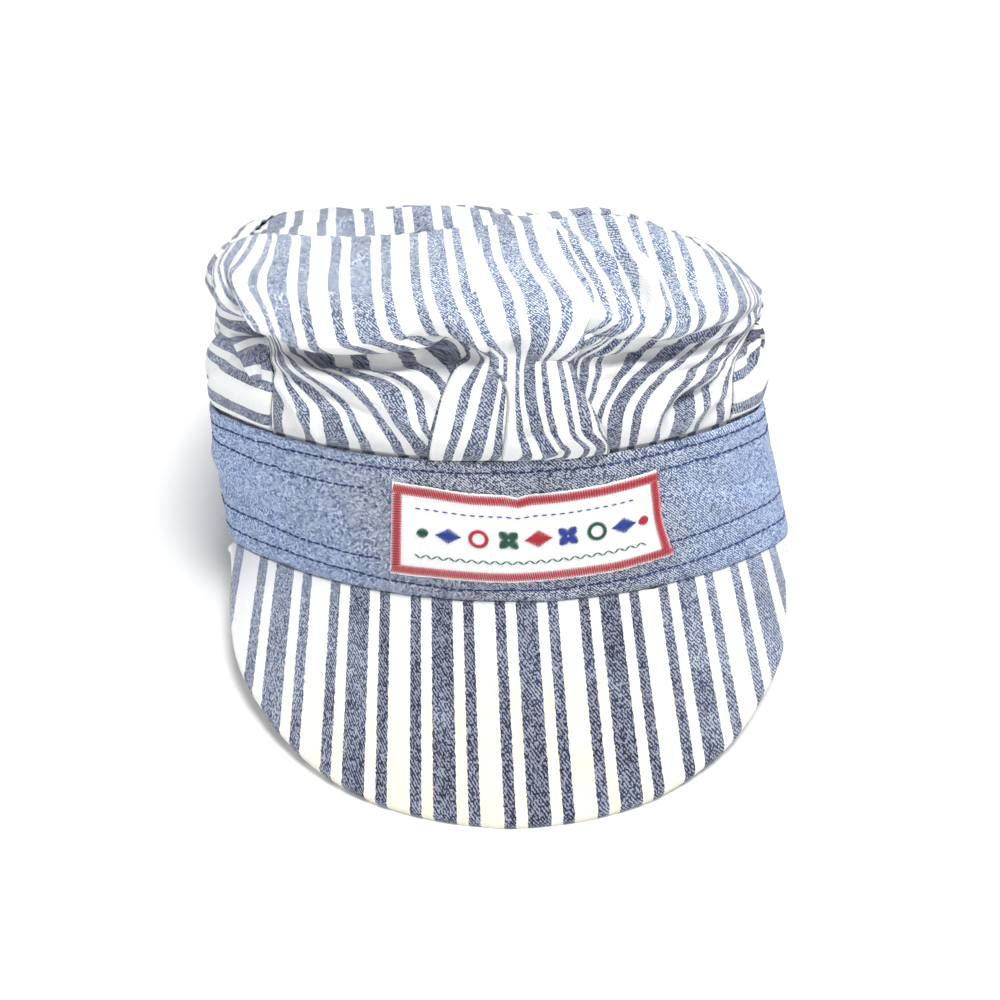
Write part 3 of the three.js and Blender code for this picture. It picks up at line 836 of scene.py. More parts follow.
FRONT_WRINKLES = wrinkles(
    ("under belly", ((-46, 3.3), (-40, 3.6), (-33, 3.0), (-20, 2.9), (-10, 3.05), (-3, 3.4)), -2.8, 2.2),
    ("belly edge", ((-42, 4.2), (-33, 3.5), (-20, 3.35), (-10, 3.5), (-4, 3.85)), 1.5, 2.4),
    ("left sweep one", ((-42.5, 2.6), (-35.5, 2.3), (-25, 1.95), (-17.5, 1.6), (-11, 0.8)), 1.5, 2.0),
    ("left sweep one dip", ((-43, 2.3), (-36, 1.95), (-27, 1.6), (-20, 1.2), (-14, 0.5)), -1.4, 1.8),
    ("left sweep two", ((-41.5, 1.9), (-37, 1.5), (-33, 0.8), (-31, 0.1)), 1.5, 1.9),
    ("left sweep two valley", ((-40, 1.4), (-37.5, 0.9), (-36, 0.1)), -1.1, 1.5),
    ("left sweep three", ((-36, 2.7), (-28, 2.45), (-18, 2.4), (-11, 1.7), (-8, 1.0)), -1.5, 1.6),
    ("left sweep four", ((-32, 2.75), (-20, 2.65), (-12, 2.25), (-7, 1.75)), 1.1, 1.5),
    ("pinch", ((-61, 5.2), (-54, 4.6), (-49, 3.7), (-43, 3.4)), -2.2, 1.6),
    ("pinch rise", ((-57, 5.3), (-49, 4.7), (-44, 4.0), (-40, 3.8)), 1.5, 1.8),
    ("pinch two", ((-60, 4.5), (-55, 3.7), (-50, 3.1), (-44, 2.8)), 1.4, 1.5),
    ("centre fold edge", ((-12, 4.6), (-7, 4.4), (-2, 3.95), (1, 3.4)), 2.6, 2.2),
    ("centre fold valley", ((-15, 4.0), (-8, 3.75), (-3.5, 3.35), (-0.5, 2.9)), -3.4, 1.9),
    ("column valley", ((8, 4.4), (6, 3.4), (6.5, 2.2), (9, 1.2)), -1.8, 2.4),
    ("column ridge", ((12, 4.4), (10, 3.4), (10.5, 2.4), (12, 1.6)), 1.3, 2.2),
    ("column curl", ((5.5, 1.15), (8, 0.85), (11, 1.0), (10.5, 1.5)), -1.7, 1.3),
    ("column curl rise", ((6.5, 0.5), (10, 0.45), (13.5, 0.8), (13, 1.5)), 1.4, 1.4),
    ("column foot", ((8, 0.15), (11, 0.3), (14.5, 0.15)), -1.2, 1.2),
    ("hook", ((13, 4.75), (19, 4.75), (23.5, 4.4), (26.5, 4.0), (28, 4.3)), 2.2, 2.0),
    ("hook valley", ((16, 4.2), (20, 4.15), (23.5, 3.7), (28, 3.5), (31, 4.0)), -2.0, 1.8),
    ("top ridge", ((37, 6.8), (34.5, 6.2), (33.5, 5.6), (33.5, 5.0), (34.5, 4.3)), 2.8, 2.4),
    ("top slit", ((32, 5.9), (30.5, 5.5), (30, 5.1)), -2.6, 1.2),
    ("lower slit", ((31.5, 5.3), (30.6, 4.8), (30.2, 4.3)), -2.4, 1.2),
    ("top ridge two", ((20, 6.8), (24, 6.0), (26, 5.2), (25.5, 4.7)), 1.3, 2.6),
    ("right sweep one", ((15.5, 2.9), (24.5, 3.2), (35, 2.95), (46, 3.1), (60, 3.7)), 1.5, 1.7),
    ("right sweep one valley", ((16, 3.2), (26, 3.5), (37, 3.25), (50, 3.5), (62, 4.2)), -1.9, 1.9),
    ("right sweep two", ((18, 2.35), (26, 2.6), (37, 2.5), (51, 2.5)), 1.4, 1.5),
    ("right sweep two valley", ((17, 2.6), (26, 2.9), (37, 2.72), (54, 2.85)), -1.5, 1.4),
    ("right sweep three", ((19.5, 1.9), (28, 2.15), (38.5, 2.0), (50, 2.05)), 1.3, 1.6),
    ("right sweep three valley", ((19, 2.15), (28, 2.35), (38, 2.25), (51, 2.3)), -1.3, 1.3),
    ("right slit", ((34.3, 0.2), (34.8, 0.85), (38.5, 1.35), (46, 1.55)), -2.0, 1.2),
    ("right slit rise", ((31.5, 0.3), (32, 1.1), (36.5, 1.7), (46, 1.85)), 1.5, 1.6),
    ("right foot", ((38, 0.2), (40, 0.8), (46, 1.15)), 1.2, 1.8),
    ("right foot valley", ((43, 0.1), (45, 0.6), (50, 0.9)), -1.1, 1.4),
    ("right belly", ((50, 4.4), (44, 4.9), (40, 5.6)), -1.2, 2.8),
    ("left top", ((-20, 6.7), (-24, 5.8), (-26, 4.9)), -1.0, 3.0),
    ("left top two", ((-42, 6.7), (-40, 5.6), (-36, 4.9)), -1.0, 3.0),
    ("left top rise", ((-31, 6.7), (-33, 5.7), (-31, 4.9)), 0.9, 3.4),
)


SEAM_ROLL = 1.0
TOP_ROLL = 0.5
ROLL_WIDTH = 1.3
BAND_PUFF = 1.3
PUFF_STARTS = (0.03, 0.3)
PUFF_ENDS = (0.7, 1.6)
WAVES_START = (0.2, 1.5)
FRONT_MM = (1.7, 7.3)
FLANK_MM = (1.7, 5.2)
FRONT_ONSET = (-0.1, 0.5)
FLANK_ONSET = (-0.1, 0.6)


def from_ends(angles: Array) -> Array:
    """Degrees from each station to the nearer end of its row."""
    low, high = angles.min(axis=1, keepdims=True), angles.max(axis=1, keepdims=True)
    return np.minimum(angles - low, high - angles)


def rolled_in(from_seam: Array, from_top: Array) -> Array:
    """How far cloth is drawn in near its side seams and its top seam, in millimetres."""
    return -SEAM_ROLL * np.exp(-from_seam / ROLL_WIDTH) - TOP_ROLL * np.exp(-from_top / ROLL_WIDTH)


@dataclass
class Panel:
    """A crown panel: rows of stations on the given rings, laid on the crown's form."""

    form: CapForm
    rest: Resting
    rings: Array

    def surface(self, angles: Array, raised: Array, relief: Callable[[Array, Array], Array]) -> Array:
        """Points of the panel in millimetres.

        Args:
            angles: Grid of degrees, one row for each ring.
            raised: Grid of heights of the layer above the crown's form.
            relief: Gives the displacement for grids of angles and rings.

        Returns:
            Grid of points.
        """
        step, rise = 0.5, 0.06
        points, outward = [], []
        for row, ring in zip(angles, self.rings):
            base = self.form.crown_points(row, ring)
            along = self.form.crown_points(row + step, ring) - self.form.crown_points(row - step, ring)
            top = min(ring + rise, self.form.last_ring)
            up = self.form.crown_points(row, top) - self.form.crown_points(row, top - 2 * rise)
            points.append(base)
            outward.append(unit(np.cross(along, up)))
        base, outward = np.array(points), np.array(outward)
        ring_grid = np.repeat(self.rings[:, None], angles.shape[1], axis=1)
        puff = BAND_PUFF * smoothstep(ring_grid, *PUFF_STARTS) * (1 - smoothstep(ring_grid, *PUFF_ENDS))
        lift = raised + relief(angles, ring_grid) + puff
        lift = lift + soft_waves(base, CROWN_SWELLS) * smoothstep(ring_grid, *WAVES_START)
        return base + outward * lift[..., None]


@dataclass
class FrontPanel(Panel):
    """The pleated front panel, with its three folded edges as real laps of cloth."""

    flap_steps: int = 72
    face_steps: int = 28
    column_steps: int = 52
    lap_angle: float = 4.2
    flat_lap: float = 0.5
    tucked_lap: float = 0.3
    stands_over: Pair = (-0.3, 0.7)
    column_puff: float = 0.7
    inset: float = 0.1
    crease_scale: float = 1.5
    gathers: Gathers = Gathers(0.25, 1.9, 5.0)
    # Paleness of the blue low and high on the front, and the rings over which it rises: painted shade under
    # the belly and painted light above it, where the crown faces the light from above.
    faded: Pair = (0.28, 0.72)
    painted_light_over: Pair = (3.0, 5.0)
    calm_top: float = 4.0
    cut: Pair = (0.27, 0.085)

    def edge(self, lap: Lap, ring: float) -> float:
        """Angle of a lap's folded edge on a ring."""
        return getattr(self.form.seams(ring), lap.column)

    def strength(self, lap: Lap, ring: float) -> float:
        """How far a lap stands up on a ring, from 0 to 1."""
        fade = 1 - float(smoothstep(ring, lap.begins, lap.ends))
        return fade * lerp(self.tucked_lap, 1, float(smoothstep(ring, *self.stands_over)))

    def lap_row(self, lap: Lap, ring: float, across: Pair, low: float) -> Stations:
        """Stations through one lap, from the left of the picture to the right.

        Args:
            lap: Which lap.
            ring: Which ring.
            across: Cloth coordinate on the left and on the right of the folded edge.
            low: Height of the layer that is covered.

        Returns:
            Angles, heights and cloth coordinates.
        """
        strength = self.strength(lap, ring)
        edge = self.edge(lap, ring)
        high = lap.raised * strength
        angles, heights, cloth = [], [], []
        for index, (turn, rise) in enumerate(LAP_TURNS):
            share = (index + 1) / (len(LAP_TURNS) + 1)
            folded = turn * self.lap_angle * strength
            angles.append(folded + share * self.flat_lap * (1 - strength))
            heights.append(low + (high - low) * rise)
            cloth.append(share)
        start, end = across
        if lap.over < 0:
            angles = [edge - angle for angle in reversed(angles)]
            return angles, heights[::-1], [lerp(start, end, 1 - share) for share in reversed(cloth)]
        angles = [edge + angle for angle in angles]
        return angles, heights, [lerp(start, end, share) for share in cloth]

    def row(self, ring: float) -> Stations:
        """Angles, heights and cloth coordinates of all stations on one ring."""
        seams = self.form.seams(ring)
        left, soft, right = LAPS
        edges = [self.edge(lap, ring) for lap in LAPS]
        stands = [self.strength(lap, ring) for lap in LAPS]
        flat = [self.flat_lap * (1 - stand) for stand in stands]
        flap_left = np.linspace(seams.seam_left + self.inset, edges[0], self.flap_steps)
        face = np.linspace(edges[0] + flat[0], edges[1], self.face_steps)
        column = np.linspace(edges[1] + flat[1], edges[2] - flat[2], self.column_steps)
        flap_right = np.linspace(edges[2], seams.seam_right - self.inset, self.flap_steps)
        on_face = np.linspace(0, 1, len(face))
        on_column = np.linspace(0, 1, len(column))
        eased = smoothstep(on_face, 0, 1)
        face_height = lerp(left.raised * stands[0], soft.under * stands[1], eased)
        column_height = lerp(soft.raised * stands[1], right.raised * stands[2], on_column)
        puff = self.column_puff * min(stands[1], stands[2])
        column_height = column_height + puff * np.sin(math.pi * on_column)
        flap_u = stripe_at(ring, LEFT_STRIPES, flap_left)
        face_u = stripe_at(ring, PLEAT_STRIPES, face)
        column_u = stripe_at(ring, PLEAT_STRIPES, column)
        right_u = stripe_at(ring, RIGHT_STRIPES, flap_right)
        lap_left = self.lap_row(left, ring, (flap_u[-1], face_u[0]), 0.0)
        lap_soft = self.lap_row(soft, ring, (face_u[-1], column_u[0]), soft.under * stands[1])
        lap_right = self.lap_row(right, ring, (column_u[-1], right_u[0]), 0.0)
        nothing = np.zeros(self.flap_steps)
        strips = (
            (flap_left, nothing, flap_u),
            lap_left,
            (face, face_height, face_u),
            lap_soft,
            (column, column_height, column_u),
            lap_right,
            (flap_right, nothing, right_u),
        )
        return tuple(list(np.concatenate(part)) for part in zip(*strips))

    def relief(self, angles: Array, rings: Array) -> Array:
        """Creases of the front, and the panel's edges rolled in at its seams."""
        across_mm, up_mm = FRONT_MM
        depth = self.crease_scale * line_relief(angles, rings, FRONT_WRINKLES, FRONT_MM)
        top = (self.form.last_ring - rings) * up_mm
        rolled = rolled_in(from_ends(angles) * across_mm, top)
        lift = depth * smoothstep(top, 0.0, self.calm_top) + rolled + self.gathers.at(angles, top)
        return lift * smoothstep(rings, *FRONT_ONSET)

    def build(self) -> Piece:
        """Makes the panel's cloth."""
        rows = [self.row(ring) for ring in self.rings]
        angles, heights, across = (np.array([row[part] for row in rows]) for part in range(3))
        points = self.surface(angles, heights, self.relief)
        # Painted light and shade: the blue is painted paler above the belly and darker in the belly's shade
        # below it.
        fade = lerp(*self.faded, smoothstep(self.rings, *self.painted_light_over)[:, None])
        piece = laid_cloth("crown_front", points, across, self.rest, 0.0, fade=fade)
        return piece


def weave_lengths(points: Array, start_column: int) -> Array:
    """Lengths along a grid's rows and up its columns, in millimetres."""
    steps = np.linalg.norm(np.diff(points, axis=1), axis=2)
    across = np.concatenate([np.zeros((len(points), 1)), np.cumsum(steps, axis=1)], axis=1)
    across = across - across[:, start_column:start_column + 1]
    climbs = np.linalg.norm(np.diff(points, axis=0), axis=2).mean(axis=1)
    up = np.concatenate([[0.0], np.cumsum(climbs)])
    return np.stack([across, np.repeat(up[:, None], points.shape[1], axis=1)], axis=-1)


def laid_cloth(
    name: str,
    points: Array,
    across: Array,
    rest: Resting,
    thickness: float,
    ring: bool = False,
    fade: Optional[Array] = None,
) -> Piece:
    """Cloth from a grid in millimetres, laid down at rest, with stripe and weave coordinates.

    Args:
        name: Name of the piece.
        points: Grid of points, rows up and columns to the right, seen from outside.
        across: Millimetres across the stripes at each point.
        rest: Where the cap rests.
        thickness: Thickness added on the inner side, or 0 to leave the cloth as it is.
        ring: Whether the grid closes round the cap.
        fade: How pale the blue is at each point, from 0 to 1: faded cloth, and on the crown's front and the
            flanks' bent stripes also painted light and shade.

    Returns:
        The new object.
    """
    weave = weave_lengths(points, points.shape[1] // 2)
    shape = points.shape
    placed = rest.placed(points.reshape(-1, 3)).reshape(shape)
    stripes = np.stack([across / STRIPE_REPEAT, weave[..., 1] / STRIPE_REPEAT], axis=-1)
    piece = grid_piece(name, placed)
    set_uv(piece, "cloth", stripes)
    set_uv(piece, "weave", weave)
    if fade is not None:
        set_attribute(piece, "fade", np.broadcast_to(fade, across.shape))
    if ring:
        merge_doubles(piece)
    if thickness:
        apply_modifier(piece, "SOLIDIFY", thickness=thickness * MM, offset=-1.0)
    return piece


SIDE_WRINKLES = {
    Side.LEFT: wrinkles(
        ("slanting tuck", ((-70, 0.8), (-62, 1.9), (-55, 2.7)), 1.6, 2.4),
        ("tuck valley", ((-66, 0.5), (-58, 1.6), (-52, 2.4)), -1.5, 1.8),
        ("second tuck", ((-82, 0.9), (-72, 2.0), (-63, 3.0)), 1.3, 3.0),
        ("second valley", ((-78, 0.8), (-68, 1.9), (-60, 2.9)), -1.2, 2.2),
        ("flank crease", ((-100, 2.2), (-84, 2.6), (-68, 3.4), (-60, 4.0)), -1.7, 2.6),
        ("flank ridge", ((-104, 2.9), (-86, 3.3), (-72, 4.2)), 1.2, 3.4),
        ("upper crease", ((-110, 4.4), (-92, 4.6), (-76, 5.4)), -1.3, 2.4),
        ("back crease one", ((-150, 0.6), (-140, 2.2), (-136, 4.2)), -1.8, 3.4),
        ("back ridge one", ((-140, 0.8), (-131, 2.4), (-126, 4.0)), 1.3, 4.0),
        ("back crease two", ((-172, 1.2), (-160, 2.4), (-146, 3.1), (-128, 3.4)), -1.5, 3.0),
        ("back ridge two", ((-168, 3.4), (-154, 4.3), (-138, 4.8)), 1.2, 4.0),
    ),
    Side.RIGHT: wrinkles(
        ("chevron valley", ((55.5, 1.7), (58.5, 2.9), (61, 3.7), (64.5, 2.9), (69, 1.9)), -2.2, 1.4),
        ("chevron ridge", ((56, 1.2), (59, 2.4), (61, 3.2), (63.5, 2.4), (67, 1.5)), 2.0, 1.2),
        ("inner valley", ((56.5, 0.9), (59, 1.8), (61, 2.6), (63, 1.9), (66, 1.1)), -2.0, 1.2),
        ("inner ridge", ((58, 0.8), (60, 1.5), (61, 2.1), (62, 1.5), (64, 0.9)), 1.5, 1.1),
        ("crumple one", ((66, 2.9), (74, 2.4), (84, 2.1)), -1.9, 2.0),
        ("crumple ridge", ((68, 2.2), (76, 1.8), (86, 1.5)), 1.4, 2.2),
        ("crumple three", ((68, 4.3), (80, 3.6), (92, 3.2)), -1.6, 2.4),
        ("flank ridge", ((72, 5.0), (86, 4.4), (100, 4.2)), 1.2, 3.4),
        ("flank crease", ((96, 1.1), (108, 2.2), (116, 3.8)), -1.6, 3.0),
        ("back ridge one", ((112, 0.8), (122, 2.2), (128, 4.2)), 1.3, 4.0),
        ("back crease one", ((126, 0.7), (137, 2.1), (145, 3.9)), -1.7, 3.2),
        ("back crease two", ((132, 4.6), (150, 3.6), (170, 3.1)), -1.4, 3.0),
        ("back ridge two", ((150, 1.0), (160, 1.9), (174, 2.5)), 1.2, 3.6),
    ),
}


class StripeBend(NamedTuple):
    """A place where folds lift and crowd a flank's stripes: its middle, width, rings and strengths."""

    at: float
    wide: float
    low: float
    high: float
    lifts: float
    crowds: float
    onset: float = 2.0
    ending: float = 0.9
    crowds_above: float = 1.6

    def strength(self, angles: Array, rings: Array) -> Array:
        """How strongly the stripes are bent, from 0 to 1, which also sets where the folds get painted shade.
        """
        onset = smoothstep(rings, self.low, self.low + self.onset)
        ending = smoothstep(rings, self.high - self.ending, self.high)
        return np.exp(-(((angles - self.at) / self.wide) ** 2)) * (onset * (1 - ending))

    def moved(self, rings: Array) -> Array:
        """How far a full bend moves the stripes, in millimetres of cloth."""
        return self.crowds * np.maximum(rings - self.low - self.crowds_above, 0.0) - self.lifts


STRIPE_BENDS = {
    Side.LEFT: StripeBend(at=-48.5, wide=2.6, low=2.4, high=4.6, lifts=-4.0, crowds=0.0),
    Side.RIGHT: StripeBend(at=61.0, wide=4.2, low=0.4, high=4.8, lifts=9.0, crowds=6.0),
}


@dataclass
class SidePanel(Panel):
    """One flank of the crown, from the front seam round to the back seam."""

    side: Side
    steps: int = 190
    stripe_rise: float = 8.8
    stripe_start: float = 3.1
    stripe_slope: float = 0.06
    slope_reach: float = 40.0
    crowding: float = 0.4
    inset: float = 0.1
    crease_scale: float = 1.2
    seam_mm: float = 1.6
    top_mm: float = 5.0
    gathers: Gathers = Gathers(0.3, 0.9, 7.0)
    thickness: float = 0.9
    faded: Pair = (0.35, 0.55)
    # How much darker the blue is painted where the stripes bend: painted shade in the folds.
    bend_painted_shade: float = 0.5
    cut: Pair = (0.17, 0.06)

    def row(self, ring: float) -> Array:
        """Angles of the stations on one ring, crowded towards the front seam."""
        seams = self.form.seams(ring)
        share = np.linspace(0, 1, self.steps)
        share = lerp(share, share**2, self.crowding)
        start = seams.seam_left if self.side is Side.LEFT else seams.seam_right
        run = 180 - abs(start) - 2 * self.inset
        angles = start + self.side.value * (self.inset + run * share)
        return angles[::-1] if self.side is Side.LEFT else angles

    def creases(self, angles: Array, rings: Array) -> Array:
        """Creases of the flank."""
        depth = self.crease_scale * line_relief(angles, rings, SIDE_WRINKLES[self.side], FLANK_MM)
        return depth * smoothstep(rings, *FLANK_ONSET)

    def relief(self, angles: Array, rings: Array) -> Array:
        """Creases of the flank, its edges rolled in at the seams, and gathers along the top."""
        top = (self.form.last_ring - rings) * self.top_mm
        rolled = rolled_in(from_ends(angles) * self.seam_mm, top)
        edges = (rolled + self.gathers.at(angles, top)) * smoothstep(rings, *FLANK_ONSET)
        return self.creases(angles, rings) + edges

    def build(self) -> Piece:
        """Makes the panel's cloth."""
        angles = np.array([self.row(ring) for ring in self.rings])
        points = self.surface(angles, np.zeros(angles.shape), self.relief)
        seam = angles - angles[:, -1:] if self.side is Side.LEFT else angles[:, :1] - angles
        lowered = self.stripe_slope * self.slope_reach * np.tanh(seam / self.slope_reach)
        bend = STRIPE_BENDS[self.side]
        rings = self.rings[:, None]
        bent = bend.strength(angles, rings)
        across = self.stripe_start + rings * self.stripe_rise + lowered + bend.moved(rings) * bent
        # The blue is paler away from the front seam, and painted darker where the stripes bend, as painted
        # shade in the folds.
        fade = lerp(*self.faded, smoothstep(-seam, 6.0, 40.0)) - self.bend_painted_shade * bent
        name = f"crown_side_{self.side.name.lower()}"
        piece = laid_cloth(name, points, across, self.rest, self.thickness, fade=fade)
        return piece


@dataclass
class SideTuck(SidePanel):
    """The small wedge of cloth that is folded down over the left flank beside its front seam."""

    tip: Pair = (-43.6, 1.25)
    tip_half: float = 0.3
    top_left: float = -57.5
    top_right: float = -45.0
    left_curve: float = 1.15
    right_curve: float = 1.3
    roundness: float = 6.0
    raised: float = 2.7
    sunk: float = 0.7
    tip_stripe: float = 13.0
    stripe_up: float = 1.1
    stripe_over: float = 0.42
    fade: float = 0.35

    def build(self) -> Piece:
        """Makes the wedge's cloth, its edges sunk into the flank."""
        up = (self.rings - self.tip[1]) / (self.rings[-1] - self.tip[1])
        left = lerp(self.tip[0] - self.tip_half, self.top_left, up ** self.left_curve)
        right = lerp(self.tip[0] + self.tip_half, self.top_right, up ** self.right_curve)
        shares = np.linspace(0, 1, self.steps)
        angles = left[:, None] + (right - left)[:, None] * shares
        swelling = 1 - np.abs(2 * shares - 1) ** self.roundness
        ends = (smoothstep(up, 0.0, 0.3) * (1 - smoothstep(up, 0.86, 1.0)))[:, None]
        points = self.surface(angles, self.raised * swelling * ends - self.sunk, self.creases)
        over = (angles - self.tip[0]) * FRONT_MM[0]
        rise = (self.rings[:, None] - self.tip[1]) * FRONT_MM[1]
        across = self.tip_stripe + self.stripe_up * rise - self.stripe_over * over
        return laid_cloth("crown_tuck", points, across, self.rest, 0.0, fade=np.array(self.fade))


@dataclass
class TopPanel:
    """The crown's round top."""

    form: CapForm
    rest: Resting
    steps: int = 240
    rows: int = 70
    reach: float = 40.0
    roll: float = 0.6
    gathers: Gathers = Gathers(0.2, 0.8, 6.0)
    allowance_in: float = 1.2
    allowance_down: float = 2.6
    stripe_lean: float = 8.0
    thickness: float = 0.9
    fade: float = 0.5
    cut: Pair = (0.135, 0.14)

    def build(self) -> Piece:
        """Makes the top's cloth, its stripes running from front to back."""
        angles = np.linspace(-180, 180, self.steps + 1)
        shares = np.linspace(0, 1, self.rows)
        points = np.array([self.form.top_points(angles, share) for share in shares])
        inward = shares[:, None] * self.reach
        rolled = -self.roll * np.exp(-inward / ROLL_WIDTH) + self.gathers.at(angles[None, :], inward)
        fading = 1 - smoothstep(shares, 0.85, 1.0)[:, None]
        points[..., 2] += (rolled + soft_waves(points, TOP_SWELLS)) * fading
        middle = self.form.top_middle()
        rim = points[:1]
        inwards = unit(np.array([*middle[:2], 0.0]) - rim * (1, 1, 0))
        allowance = rim + inwards * self.allowance_in - (0, 0, self.allowance_down)
        points = np.concatenate([allowance, points])
        lean = math.radians(self.stripe_lean)
        aside, back = points[..., 0] - middle[0], points[..., 1] - middle[1]
        across = aside * math.cos(lean) + back * math.sin(lean)
        fade = np.array(self.fade)
        piece = laid_cloth("crown_top", points, across, self.rest, self.thickness, ring=True, fade=fade)
        return piece


class BandRow(NamedTuple):
    """A row of stitches round the headband: stops of angle and share of the band's height."""

    name: str
    stops: tuple[Pair, ...]
    skips_label: bool


BAND_ROWS = (
    BandRow(
        "upper edge",
        ((-180, 0.92), (-64, 0.9), (-44, 0.92), (20, 0.93), (45, 0.94), (180, 0.92)),
        skips_label=False,
    ),
    BandRow(
        "below upper edge",
        ((-180, 0.79), (-64, 0.78), (-31, 0.75), (-19, 0.78), (34, 0.83), (180, 0.79)),
        skips_label=True,
    ),
    BandRow(
        "above lower edge",
        ((-180, 0.28), (-64, 0.29), (-24, 0.25), (34, 0.31), (60, 0.34), (180, 0.28)),
        skips_label=True,
    ),
    BandRow(
        "lower edge",
        ((-180, 0.1), (-64, 0.12), (-34, 0.12), (-12, 0.08), (18, 0.09), (56, 0.16), (180, 0.1)),
        skips_label=False,
    ),
)
LABEL_SPAN = (-24.5, 34.5)


# Their paths are in degrees and shares of the band's height.
BAND_CREASES = wrinkles(
    ("long slant", ((-80, 0.6), (-62, 0.48), (-38, 0.34)), -1.2, 2.0),
    ("slant ridge", ((-78, 0.74), (-58, 0.6), (-38, 0.5)), 0.8, 2.4),
    ("second slant", ((-70, 0.36), (-56, 0.3), (-42, 0.2)), -0.8, 1.6),
    ("seam dent", ((-45.5, 0.98), (-44, 0.84), (-46, 0.66)), -1.1, 1.3),
    ("seam rise", ((-48.5, 0.98), (-48, 0.84), (-50, 0.7)), 0.6, 1.4),
    ("small dent", ((-30.5, 0.7), (-31, 0.55), (-29, 0.42)), -0.9, 1.2),
    ("small ridge", ((-33, 0.72), (-34.5, 0.5), (-32, 0.36)), 0.7, 1.6),
    ("second dent", ((-24, 0.72), (-25.5, 0.5), (-24, 0.3)), -0.6, 1.4),
    ("top pull", ((4.5, 0.99), (4.8, 0.88), (4.8, 0.78)), -0.8, 1.0),
    ("right wave", ((38, 0.74), (47, 0.58), (60, 0.5)), -0.9, 2.2),
    ("right ridge", ((40, 0.6), (50, 0.44), (62, 0.36)), 0.7, 2.4),
    ("right pull", ((40, 0.98), (42, 0.86), (44, 0.72)), -0.8, 1.3),
    ("back wave one", ((-150, 0.7), (-130, 0.5), (-112, 0.45)), -1.0, 3.0),
    ("back wave two", ((110, 0.4), (132, 0.5), (150, 0.7)), -1.0, 3.0),
    ("back seam", ((180, 1.0), (179.5, 0.5), (180, 0.0)), -0.6, 1.0),
)


def row_share(row: BandRow, angles: Array) -> Array:
    """Share of the band's height at which a stitch row runs, smoothed over some degrees."""
    stops = list(zip(*row.stops))
    smooth = [np.interp(angles + turn, stops[0], stops[1]) for turn in (-6, -3, 0, 3, 6)]
    return sum(smooth) / len(smooth)


def along_row(find: Callable[[Array, float], Array], angles: Array, shares: Array) -> Array:
    """What the form's function gives at each angle and share of the band's height."""
    return np.array([find(np.array([angle]), share)[0] for angle, share in zip(angles, shares)])


def interp_points(at: float, run: Array, points: Array) -> Array:
    """Point at a length along a run of points."""
    return np.array([np.interp(at, run, points[:, axis]) for axis in range(3)])


@dataclass
class Headband:
    """The chambray headband with its four rows of stitches."""

    form: CapForm
    rest: Resting
    columns: int = 560
    rows: int = 44
    wall: float = 1.5
    pitch: float = 2.6
    stitch_half: float = 1.0
    stitch_lift: float = 0.25
    row_steps: int = 1441
    row_sink: float = 0.42
    row_width: float = 0.8
    pucker: float = 0.16
    pucker_width: float = 3.2
    crease_mm: float = 1.6
    top_roll: float = 0.6
    bottom_roll: float = 0.35
    roll_width: float = 0.9
    crowding: float = 0.03
    fresh_at: float = 5.0
    cut: Pair = (0.046, 0.575)

    def relief(self, angles: Array, shares: Array) -> Array:
        """Displacement of the outer face: sunk stitch rows, puckers beside them and creases."""
        tall = self.form.band_height
        depth = np.zeros(angles.shape)
        for index, row in enumerate(BAND_ROWS):
            line = row_share(row, angles)
            away = (shares - line) * tall
            depth -= self.row_sink * np.exp(-((away / self.row_width) ** 2))
            wavy = np.sin(angles * 2.1 + 1.7 * index + 2.2 * np.sin(angles * 0.23))
            depth += self.pucker * wavy * np.exp(-((away / self.pucker_width) ** 2))
        return depth + line_relief(angles, shares, BAND_CREASES, (self.crease_mm, tall))

    def outer(self, angles: Array, share: float) -> Array:
        """Points of the dressed outer face on one level."""
        points = self.form.band_points(angles, share)
        facing = self.form.band_facings(angles, share)
        lift = self.relief(angles, np.full(angles.shape, share))
        lift = lift + soft_waves(points, BAND_SWELLS)
        edge = min(share, 1 - share) * self.form.band_height
        roll = self.top_roll if share > 0.5 else self.bottom_roll
        lift = lift - roll * math.exp(-((edge / self.roll_width) ** 2))
        return points + facing * lift[:, None]

    def build(self) -> Piece:
        """Makes the headband's cloth."""
        angles = np.linspace(-180, 180, self.columns + 1)
        shares = np.linspace(0, 1, self.rows)
        shares = shares - np.sin(2 * math.pi * shares) * self.crowding
        points = np.array([self.outer(angles, share) for share in shares])
        points[:, -1] = points[:, 0]
        fade = smoothstep(np.abs(angles - self.fresh_at), 10.0, 60.0)[None, :]
        across = np.zeros(points.shape[:2])
        piece = laid_cloth("headband", points, across, self.rest, self.wall, ring=True, fade=fade)
        return piece

    def stitch_places(self, row: BandRow) -> list[Matrix]:
        """Places of one row's stitches, each turned along the row."""
        angles = np.linspace(-180, 180, self.row_steps)
        places = []
        line = row_share(row, angles)
        points = along_row(self.form.band_points, angles, line)
        facing = along_row(self.form.band_facings, angles, line)
        lift = self.relief(angles, line) + soft_waves(points, BAND_SWELLS) + self.stitch_lift
        points = self.rest.placed(points + facing * lift[:, None])
        run = np.concatenate([[0.0], np.cumsum(np.linalg.norm(np.diff(points, axis=0), axis=1))])
        count = int(run[-1] / (self.pitch * MM))
        for index in range(count):
            at = (index + 0.5) * run[-1] / count
            angle = np.interp(at, run, angles)
            if row.skips_label and LABEL_SPAN[0] < angle < LABEL_SPAN[1]:
                continue
            start = interp_points(at - self.stitch_half * MM, run, points)
            end = interp_points(at + self.stitch_half * MM, run, points)
            out = interp_points(at, run, facing)
            places.append(stitch_matrix((start + end) / 2, end - start, out))
        return places


def stitch_matrix(place: Array, along: Array, out: Array) -> Matrix:
    """Matrix that turns a stitch modelled along X, with Z outwards, onto its place."""
    forward = Vector(along).normalized()
    side = Vector(out).cross(forward).normalized()
    up = forward.cross(side)
    matrix = Matrix((forward, side, up)).transposed().to_4x4()
    matrix.translation = Vector(place)
    return matrix


